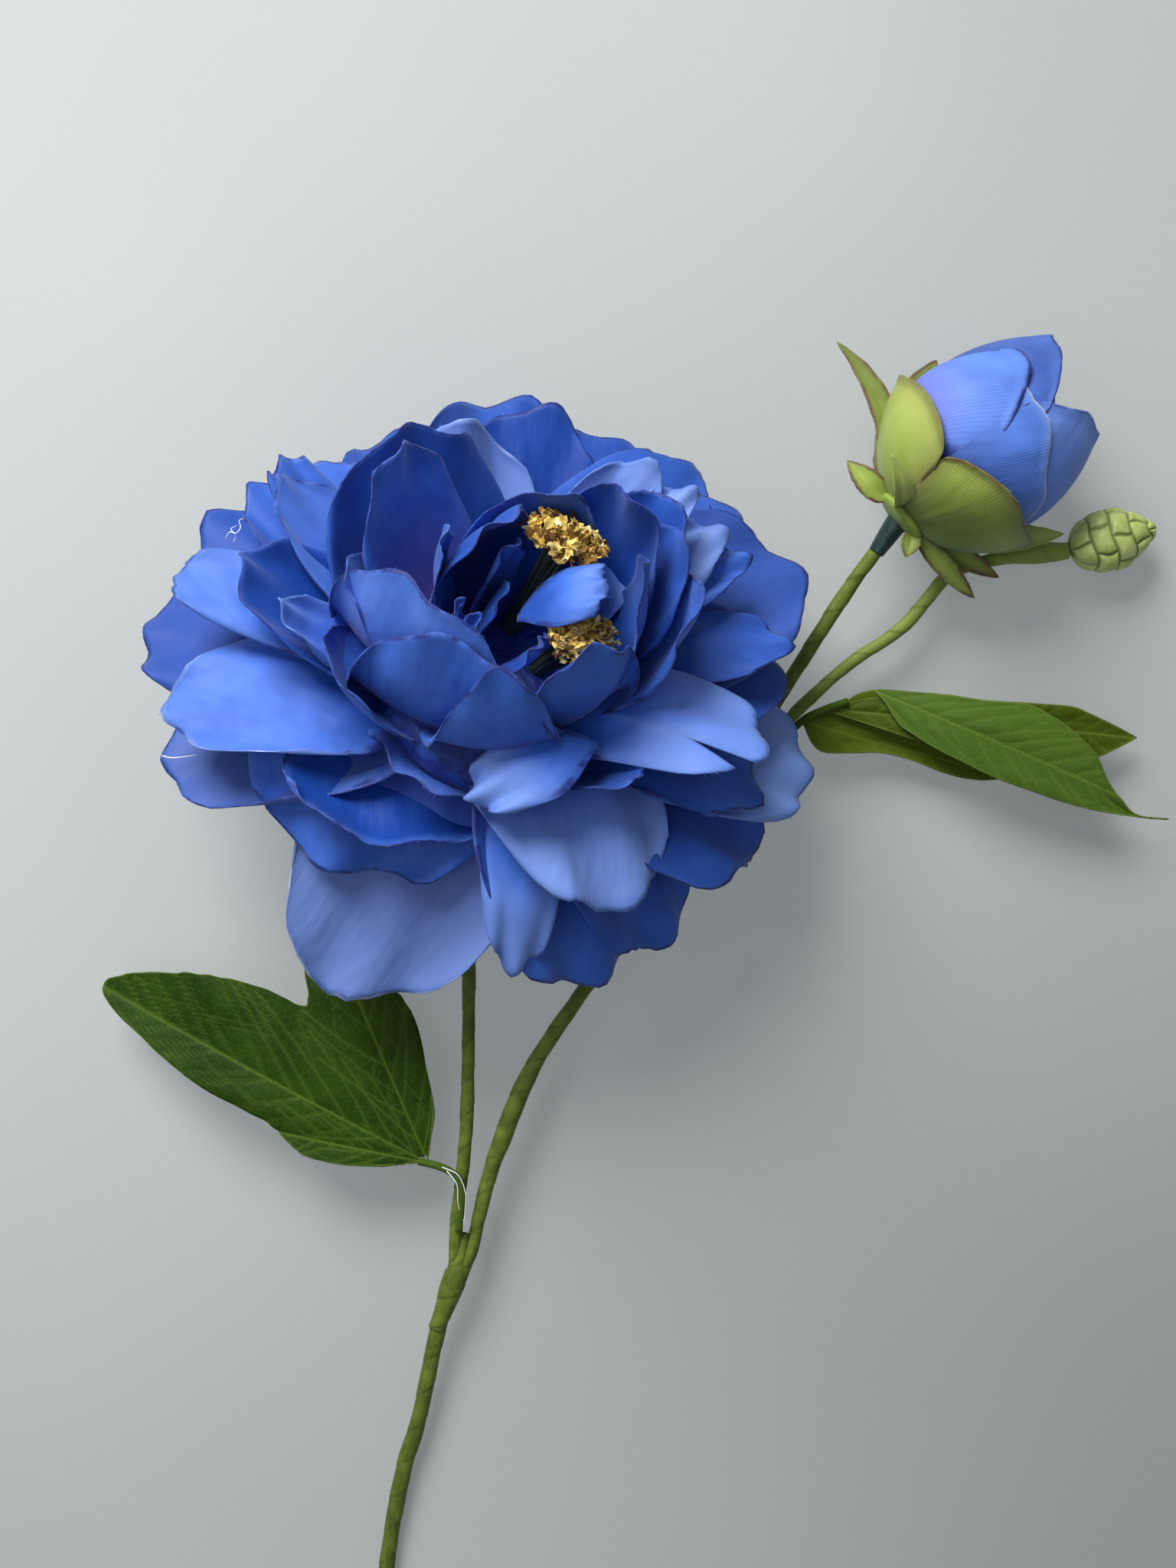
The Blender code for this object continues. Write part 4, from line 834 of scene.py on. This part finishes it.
def lobe_sheet(foot, tip, width, rise, cup, number, rows=120, columns=49, jag=0.0, sway=0.0, edges=None):
    """One long leaf lobe or bract as in the part's source, drawn to a point at its tip."""
    draw = np.random.default_rng(SEED + 53 + number)
    foot, tip = np.array(foot, float), np.array(tip, float)
    length = np.linalg.norm(tip - foot)
    normal = across(unit(tip - foot), (0.0, 0.0, 1.0))
    middle = (foot + tip) / 2 + normal * 2 * rise + np.cross(unit(tip - foot), normal) * sway
    u = np.linspace(0, 1, rows)[:, None]
    v = np.linspace(-1, 1, columns)[None]
    margin = 1 + jag * waves_over(draw, u, 0.0, 4, 20, 60) + 0.02 * waves_over(draw, u, 0.0, 3, 14, 40)
    if edges:
        routes = [smooth_route([(share, away, 0) for share, away in edge], 1.0) for edge in edges]
        upper, lower = [np.interp(u * 100, route[:, 0], route[:, 1]) for route in routes]
        half = ((lower - upper) / 2 + v * (lower + upper) / 2) * margin
        spread = (lower + upper) / width
    else:
        swell = math.log(0.5) / math.log(BRACT_WIDEST)
        spread = 0.03 + 0.97 * np.sin(math.pi * u ** swell) ** 0.8 * (u < 0.999)
        half = width / 2 * v * spread * margin
    lift = 0.45 * min(1.0, width / 15) * waves_over(draw, u, v, 3, 3, 8) * np.sin(math.pi * u)
    lift = lift - 0.5 * (1 - np.abs(v)) * spread
    grid = bowed(foot, middle, tip, normal, u, half, math.radians(cup) / width, lift)
    from_rim = np.minimum((1 - np.abs(v)) * width / 2 * spread, (1 - u) * length)
    return grid, triples(half, u * length, number), from_rim


def leaves(plastic):
    """Both leaves with their stalks."""
    grid, from_rim = left_leaf_grid()
    lines = []
    for direction, reach, count in LEFT_LEAF_RIBS:
        turn = math.radians(direction)
        tip = np.array(LEFT_LEAF_FOOT[:2]) + reach * np.array([math.cos(turn), math.sin(turn)])
        lines += vein_lines(LEFT_LEAF_FOOT, tip, count, 36, 0.34, 0.25)
    skin = Skin()
    leaf_sheet(skin, grid, lines, 1, from_rim)
    tube_body(skin, smooth_route(LEFT_LEAF_STALK, 0.5), STALK_RADIUS, 16, 1, STALK_LOOK)
    skin.piece("left_leaf_blade", plastic, "left_leaf")
    skin = Skin()
    for number, (foot, tip, width, rise, cup, tint, *edges) in enumerate(RIGHT_LEAF, 2):
        grid, _, from_rim = lobe_sheet(foot, tip, width, rise, cup, number, edges=edges)
        leaf_sheet(skin, grid, vein_lines(foot, tip, 13, 40, 0.20, 0.3), number, from_rim, tint)
    tube_body(skin, smooth_route(RIGHT_LEAF_STALK, 0.5), STALK_RADIUS, 16, 2, STALK_LOOK)
    skin.piece("right_leaf_blades", plastic, "right_leaf")


def gold_crumbs():
    """Crumpled stamens; look: its first share is the crumb's tone."""
    make = Finish("gold_crumbs")
    speck = make.noise(make.where(), 1500.0)
    tone = make.calc("ADD", make.look()[1], make.calc("MULTIPLY_ADD", speck, 0.5, -0.25))
    ramp = make.add("ValToRGB", {0: tone})
    steps = ramp.color_ramp.elements
    steps[0].color, steps[1].color = (*GOLD[0], 1), (*GOLD[-1], 1)
    for k, colour in enumerate(GOLD[1:-1], 1):
        steps.new(k / (len(GOLD) - 1)).color = (*colour, 1)
    return make.done({"Base Color": ramp.outputs[0], "Roughness": 0.42, "Specular IOR Level": 0.5})


def stalk_look():
    """Dark ribbed plastic."""
    make = Finish("dark_stalks")
    grain = make.noise(make.cloth(), 0.8, 2.0, 0.5, (3, 0.3, 7))
    green = make.blend((0.008, 0.018, 0.018), (0.055, 0.075, 0.055), grain, high=0.75)
    return make.done({"Base Color": green, "Roughness": 0.5})


def spiral(k, count):
    """Direction and distance from the middle of a place in an even round field of count places."""
    return k * GOLDEN_ANGLE, math.sqrt((k + 0.5) / count)


def stamens(gold, dark):
    """Bundles of thin dark stalks, each bundle with a tuft of crumpled golden crumbs on its head."""
    for number, (name, (foot, head, half_length, half_breadth)) in enumerate(STAMENS.items()):
        draw = np.random.default_rng(SEED + 5 + number)
        foot, head = np.array(foot), np.array(head)
        along = unit(head - foot)
        side = across(along, TUFT_SIDE)
        other = np.cross(along, side)
        skin = Skin()
        for k in range(FILAMENTS):
            turn, reach = spiral(k, FILAMENTS)
            share = np.linspace(0, 1, 12)[:, None]
            wide = (np.interp(share, *STALK_FLARE) - 0.45) * reach
            route = foot + (head - foot) * share + other * wide * math.sin(turn)
            route = route + side * (wide * math.cos(turn) + 0.25 * np.sin(share * 5 + k))
            thick = draw.uniform(0.34, 0.5)
            tube_body(skin, route, np.linspace(thick, thick * 0.8, 12), 8, k)
        skin.piece("filaments_" + name, dark, "stamen_stalks_" + name)

        skin = Skin()
        centre = head + along * (TUFT_GAP + TUFT_DEPTH)
        for k in range(CRUMBS):
            turn, reach = spiral(k, CRUMBS)
            height = TUFT_DEPTH * (1.5 * math.sqrt(max(0.0, 1.05 - reach ** 2)) - 0.4)
            spot = centre + along * (height + draw.uniform(-1.1, 1.0))
            spot = spot + side * half_length * reach * math.cos(turn)
            spot = spot + other * half_breadth * reach * math.sin(turn)
            crumb(skin, spot + draw.uniform(-0.6, 0.6, 3), draw.uniform(*CRUMB_SIZES), draw)
        ball_body(skin, centre - along * 0.4, half_length * 0.8, along, 0.22, 8, 20, (INSIDE, 0.1, 0.0))
        away = (skin.points[-1] - centre) @ other
        skin.points[-1] = skin.points[-1] - np.outer(away * (1 - half_breadth / half_length), other)
        skin.piece("tuft_" + name, gold, "anthers_" + name, smooth=False)


def crumb(skin, spot, size, draw):
    """A scrap of foil crumpled into a small open lump."""
    first, second = unit(draw.normal(size=(2, 3)))
    second = across(first, second)
    steps = np.linspace(-1, 1, 4)
    a, b = np.meshgrid(steps, steps, indexing="ij")
    fold = 0.5 * np.sin(2.3 * a + draw.uniform(0, 6)) + 0.4 * np.sin(3.1 * b + draw.uniform(0, 6))
    jitter = draw.uniform(-0.28, 0.28, (4, 4, 3))
    grid = triples(a, b * draw.uniform(0.5, 0.9), fold) + jitter
    grid = spot + size * (grid @ np.array([first, second, np.cross(first, second)]))
    tone = draw.choice(CRUMB_TONES[0], p=CRUMB_TONES[1])
    skin.sheet(grid, np.zeros(grid.shape), np.broadcast_to((INSIDE, tone, 0.0), grid.shape), FOIL)


def egg_points(base, axis, length, radius, share, azimuth, lift):
    """Points that lie lift above an egg's surface; azimuth 0 faces up, 90 to the axis's left."""
    axis = unit(axis)
    up = across(axis, (0.0, 0.0, 1.0))
    share, azimuth, lift = [a[..., None] for a in np.broadcast_arrays(share, azimuth, lift)]
    around = up * np.cos(np.radians(azimuth)) + np.cross(up, axis) * np.sin(np.radians(azimuth))
    swell = np.maximum(0.0, np.sin(math.pi * np.clip(share, 0.0, 1.0) ** 0.85)) ** 0.62
    return base + axis * (length * share) + around * (radius * swell + lift)


def shell_sheet(base, shell, foot, index, tuck=0.0, scallop=1.0, ripple=0.5, violet=0.0, pale=0.0, flare=0.0,
                close=0.0, lean=0.0, light_rim=0.2, rim_tint=0.0, top=0.42, skew=0.0):
    """A round petal or sepal of the bud, which lies over its egg."""
    draw = np.random.default_rng(SEED * 31 + index)
    azimuth, spread, start, end, lift = shell
    length = BUD_LENGTH * (end - start)
    v = np.linspace(-1, 1, 56)[None]
    u = np.linspace(0, 1, 60)[:, None]
    ragged = 0.8 * waves_over(draw, 0.0, v, 3, 5, 12) + 0.12 * waves_over(draw, 0.0, v, 3, 25, 60)
    reach = rounded_end(v, top, 2.4, skew) + scallop * ragged / length
    wide = foot + (1 - foot) * np.sin(np.minimum(u / 0.6, 1.0) * math.pi / 2)
    raised = lift - tuck * np.abs(v) + ripple * u * waves_over(draw, u * 0.4, v, 4, 3, 10)
    raised = np.maximum(raised, 0.15) + 0.5 * smoothstep(0.9, 1.0, u) + flare * u ** 2 - close * u ** 3
    grid = egg_points(base, BUD_AXIS, BUD_LENGTH, BUD_RADIUS, start + (end - start) * u * reach,
                      azimuth + lean * u + spread / 2 * v * wide, raised)
    grid[..., 2] = np.maximum(grid[..., 2], FLOOR)
    arc = np.radians(spread / 2) * BUD_RADIUS * 0.8 * wide
    from_rim = np.minimum((1 - u) * reach * length, (1 - np.abs(v)) * arc)
    # Painted shade: the sheet is dyed darker towards its foot; pale is partly painted light and shade on the
    # bud's petals
    dye_and_painted_light = pale - 0.4 * smoothstep(0.9, 0.3, u) + light_rim * np.exp(-from_rim / 0.6)
    tint = violet * smoothstep(0.8, 0.2, u) + rim_tint * np.exp(-from_rim / 2.5)
    cloth = triples(v * arc, u * reach * length, BUD_NUMBER + index)
    return grid, cloth, triples(from_rim, dye_and_painted_light, tint)


def bud(cloth_look, sepal_look, collar_look):
    """The half open bud: its collar, the petals round a core, and the sepals and bracts under them."""
    skin = Skin()
    route = smooth_route(COLLAR, 0.3)
    radii = np.interp(np.linspace(0, 1, len(route)), np.linspace(0, 1, len(COLLAR_RADII)), COLLAR_RADII)
    tube_body(skin, route, radii, 32)
    skin.piece("collar", collar_look, "bud_collar")

    skin = Skin()
    share = np.linspace(0.03, 0.68, 30)[:, None]
    core = egg_points(BUD_BASE, BUD_AXIS, BUD_LENGTH, BUD_RADIUS, share, np.arange(60) * 6.0,
                      -0.4 - 9.0 * share ** 3)
    skin.rings(core, np.zeros(core.shape), (INSIDE, 0.0, 0.0))
    for index, (shell, more) in enumerate(BUD_PETALS):
        sheet = shell_sheet(BUD_BASE, shell, 0.55, index, tuck=0.5, **more)
        skin.sheet(*sheet, BUD_CLOTH)
        fray(skin, sheet[0], BUD_NUMBER + index, 40)
    skin.piece("bud_cloth", cloth_look, "bud_petals")

    skin = Skin()
    axis = unit(BUD_AXIS)
    seat = BUD_BASE - axis * 1.6
    ball_body(skin, seat, BUD_SEAT, axis, 0.3)
    for index, (shell, more) in enumerate(BUD_SEPALS, 20):
        sheet = shell_sheet(BUD_BASE - axis * 0.9, shell, 0.95, index, scallop=0.7, ripple=0.8, rim_tint=0.7,
                            light_rim=0.0, **more)
        skin.sheet(*sheet, BUD_CLOTH)
        fray(skin, sheet[0], BUD_NUMBER + index, 30, 0.4)
    for number, (tip, width, rise, sway, pale, brown) in enumerate(BRACTS, 30):
        foot = seat + across(axis, np.array(tip) - seat) * 4.0
        grid, cloth, from_rim = lobe_sheet(foot, tip, width, rise, BRACT_CUP, number, 40, 15, BRACT_JAG, sway)
        skin.sheet(grid, cloth, triples(from_rim, pale, brown * np.exp(-from_rim / 1.5)), CLOTH)
    skin.piece("bud_sepal_cloth", sepal_look, "bud_sepals")


def small_bud(look_of_bud):
    """The closed bud: an egg covered in bevelled scales, each row shifted by half a scale."""
    share = (0.5 - 0.5 * np.cos(np.linspace(0.04, math.pi - 0.02, SMALL_BUD_RINGS)))[:, None]
    azimuth = np.arange(SMALL_BUD_SIDES) * 360 / SMALL_BUD_SIDES
    row = share * SCALE_ROWS + 0.10 * np.sin(np.radians(azimuth) * 3 + 1)
    shift = np.where(np.floor(row) % 2 == 1, 0.5, 0.0)
    across_tile = np.abs(((azimuth / SCALE_SPREAD + shift + 0.05 * np.sin(row * 5)) % 1.0) - 0.5) * 2
    along_tile = np.abs((row % 1.0) - 0.5) * 2
    groove = np.maximum(smoothstep(0.80, 0.98, across_tile), smoothstep(0.80, 0.98, along_tile))
    dome = (1 - across_tile ** 3) * (1 - along_tile ** 3)
    relief = SCALE_RELIEF * (0.25 + 0.75 * dome) * (1 - groove)
    relief = relief - 1.5 * smoothstep(0.62, 1.0, share) * (1 - share) * 3
    grid = egg_points(SMALL_BUD_BASE, SMALL_BUD_AXIS, SMALL_BUD_LENGTH, SMALL_BUD_RADIUS, share, azimuth,
                      relief)
    tip = SMALL_BUD_BASE + unit(SMALL_BUD_AXIS) * (SMALL_BUD_LENGTH + 0.4)
    points = np.vstack([grid.reshape(-1, 3), SMALL_BUD_BASE, tip])
    foot, head = len(points) - 2, len(points) - 1
    last = foot - SMALL_BUD_SIDES
    faces = ring_faces(SMALL_BUD_RINGS, SMALL_BUD_SIDES)
    for j in range(SMALL_BUD_SIDES):
        k = (j + 1) % SMALL_BUD_SIDES
        faces += [(foot, k, j), (head, last + j, last + k)]
    cloth = triples(np.radians(azimuth) * SMALL_BUD_RADIUS, share * SMALL_BUD_LENGTH, 0.0)
    look = triples(INSIDE, groove, 0.0)
    ends = np.zeros((2, 3))
    skin = Skin()
    skin.add(points, faces, *[np.vstack([marks.reshape(-1, 3), ends]) for marks in (cloth, look)])
    skin.piece("small_bud_scales", look_of_bud, "small_bud")


def small_bud_look():
    """Pale green plastic, darkened in the grooves between the scales as painted shade; look: its first share
    says how deep in a groove between the scales it is.
    """
    make = Finish("small_bud_skin")
    cloth = make.cloth()
    green = make.blend((0.34, 0.43, 0.10), (0.54, 0.61, 0.20), make.noise(cloth, 0.35))
    # Painted shade: darker colour in the grooves between the scales
    green = make.mix(make.look()[1], green, (0.13, 0.18, 0.04))
    return make.done({"Base Color": green, "Normal": make.bump(make.noise(cloth, 3.5), 0.5, 0.00012),
                      "Roughness": 0.4})


def plain_look(name, dark, light, scale, roughness, metallic=0.0):
    """An uneven two-tone surface for a small hidden or hard piece."""
    make = Finish(name)
    patch = make.noise(make.where(), scale)
    return make.done({"Base Color": make.blend(dark, light, patch), "Normal": make.bump(patch, 0.3, 0.0001),
                      "Roughness": roughness, "Metallic": metallic})


def painted_glow_floor():
    """The plain pale background, which glows as painted light, brighter towards the window, and lightens the
    spray's shadow.
    """
    make = Finish("painted_glow_floor")
    where = make.where()
    spot = make.split(where)
    # Painted light: the glow rises towards the picture's top and its left edge
    painted_glow_upward = make.step(spot[1], -0.10, 0.32, *FLOOR_PAINTED_GLOW)
    painted_glow_leftward = make.step(spot[0], -0.16, 0.14, FLOOR_PAINTED_TILT, -FLOOR_PAINTED_TILT)
    tone = make.blend((0.20, 0.21, 0.21), (0.24, 0.25, 0.25), make.noise(where, 5.0, 2.0, 0.4))
    return make.done({"Base Color": tone, "Emission Strength": make.calc("ADD", painted_glow_upward, painted_glow_leftward),
                      "Emission Color": (0.93, 1.0, 1.0, 1.0), "Roughness": 0.7})


def studio():
    """A plain pale floor that glows as painted light, a soft window light from the picture's top and a camera
    that looks straight down.
    """
    scene = bpy.context.scene
    scene.view_settings.view_transform = "Standard"
    camera = placed("camera", bpy.data.cameras.new("camera"))
    scene.camera = camera
    camera.data.lens = FOCAL_LENGTH
    camera.data.sensor_fit = "VERTICAL"
    camera.data.sensor_height = SENSOR_HEIGHT
    camera.location = (np.array([0.0, 0.0, CAMERA_HEIGHT]) - ORIGIN * (1, 1, 0)) * MM

    world = bpy.data.worlds.new("room")
    scene.world = world
    world.use_nodes = True
    sky = world.node_tree.nodes["Background"].inputs
    sky["Color"].default_value = SKY
    sky["Strength"].default_value = SKY_STRENGTH
    for name, place, target, size, power, colour in LAMPS:
        light = bpy.data.lights.new(name, "AREA")
        light.shape = "DISK"
        light.size = size
        light.energy = power
        light.color = colour
        lamp = placed(name, light)
        lamp.location = place
        lamp.rotation_euler = (Vector(target) - Vector(place)).to_track_quat("-Z", "Y").to_euler()

    mesh = bpy.data.meshes.new("floor")
    mesh.from_pydata([(-2, -2, 0), (2, -2, 0), (2, 2, 0), (-2, 2, 0)], [], [(0, 1, 2, 3)])
    mesh.materials.append(painted_glow_floor())
    placed("floor", mesh)


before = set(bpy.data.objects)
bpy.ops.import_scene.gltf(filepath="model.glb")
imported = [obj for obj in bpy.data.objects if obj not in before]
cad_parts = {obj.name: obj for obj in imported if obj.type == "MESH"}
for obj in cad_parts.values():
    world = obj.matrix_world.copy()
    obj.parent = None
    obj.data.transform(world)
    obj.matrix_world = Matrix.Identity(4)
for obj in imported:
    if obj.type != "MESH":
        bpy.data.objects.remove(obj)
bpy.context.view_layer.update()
studio()
bloom(fabric("petal_cloth", **PETAL_DYES))
glue_threads(plain_look("hot_glue", (0.75, 0.78, 0.82), (0.9, 0.92, 0.94), 600.0, 0.25))
stems(stem_tape())
leaves(leaf_plastic())
stamens(gold_crumbs(), stalk_look())
bud(fabric("bud_cloth_look", **BUD_DYES), fabric("sepal_cloth", pitch=0.5, sheen=0.1, **SEPAL_DYES),
    plain_look("collar", (0.003, 0.016, 0.015), (0.006, 0.033, 0.029), 700.0, 0.4))
small_bud(small_bud_look())
kept = {"stem_wire": plain_look("wire_end", (0.35, 0.35, 0.35), (0.5, 0.5, 0.5), 900.0, 0.35, 1.0),
        "bloom_calyx": plain_look("calyx_green", (0.04, 0.075, 0.015), (0.08, 0.13, 0.03), 500.0, 0.5)}
for node, finish in kept.items():
    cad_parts[node].material_slots[0].material = finish
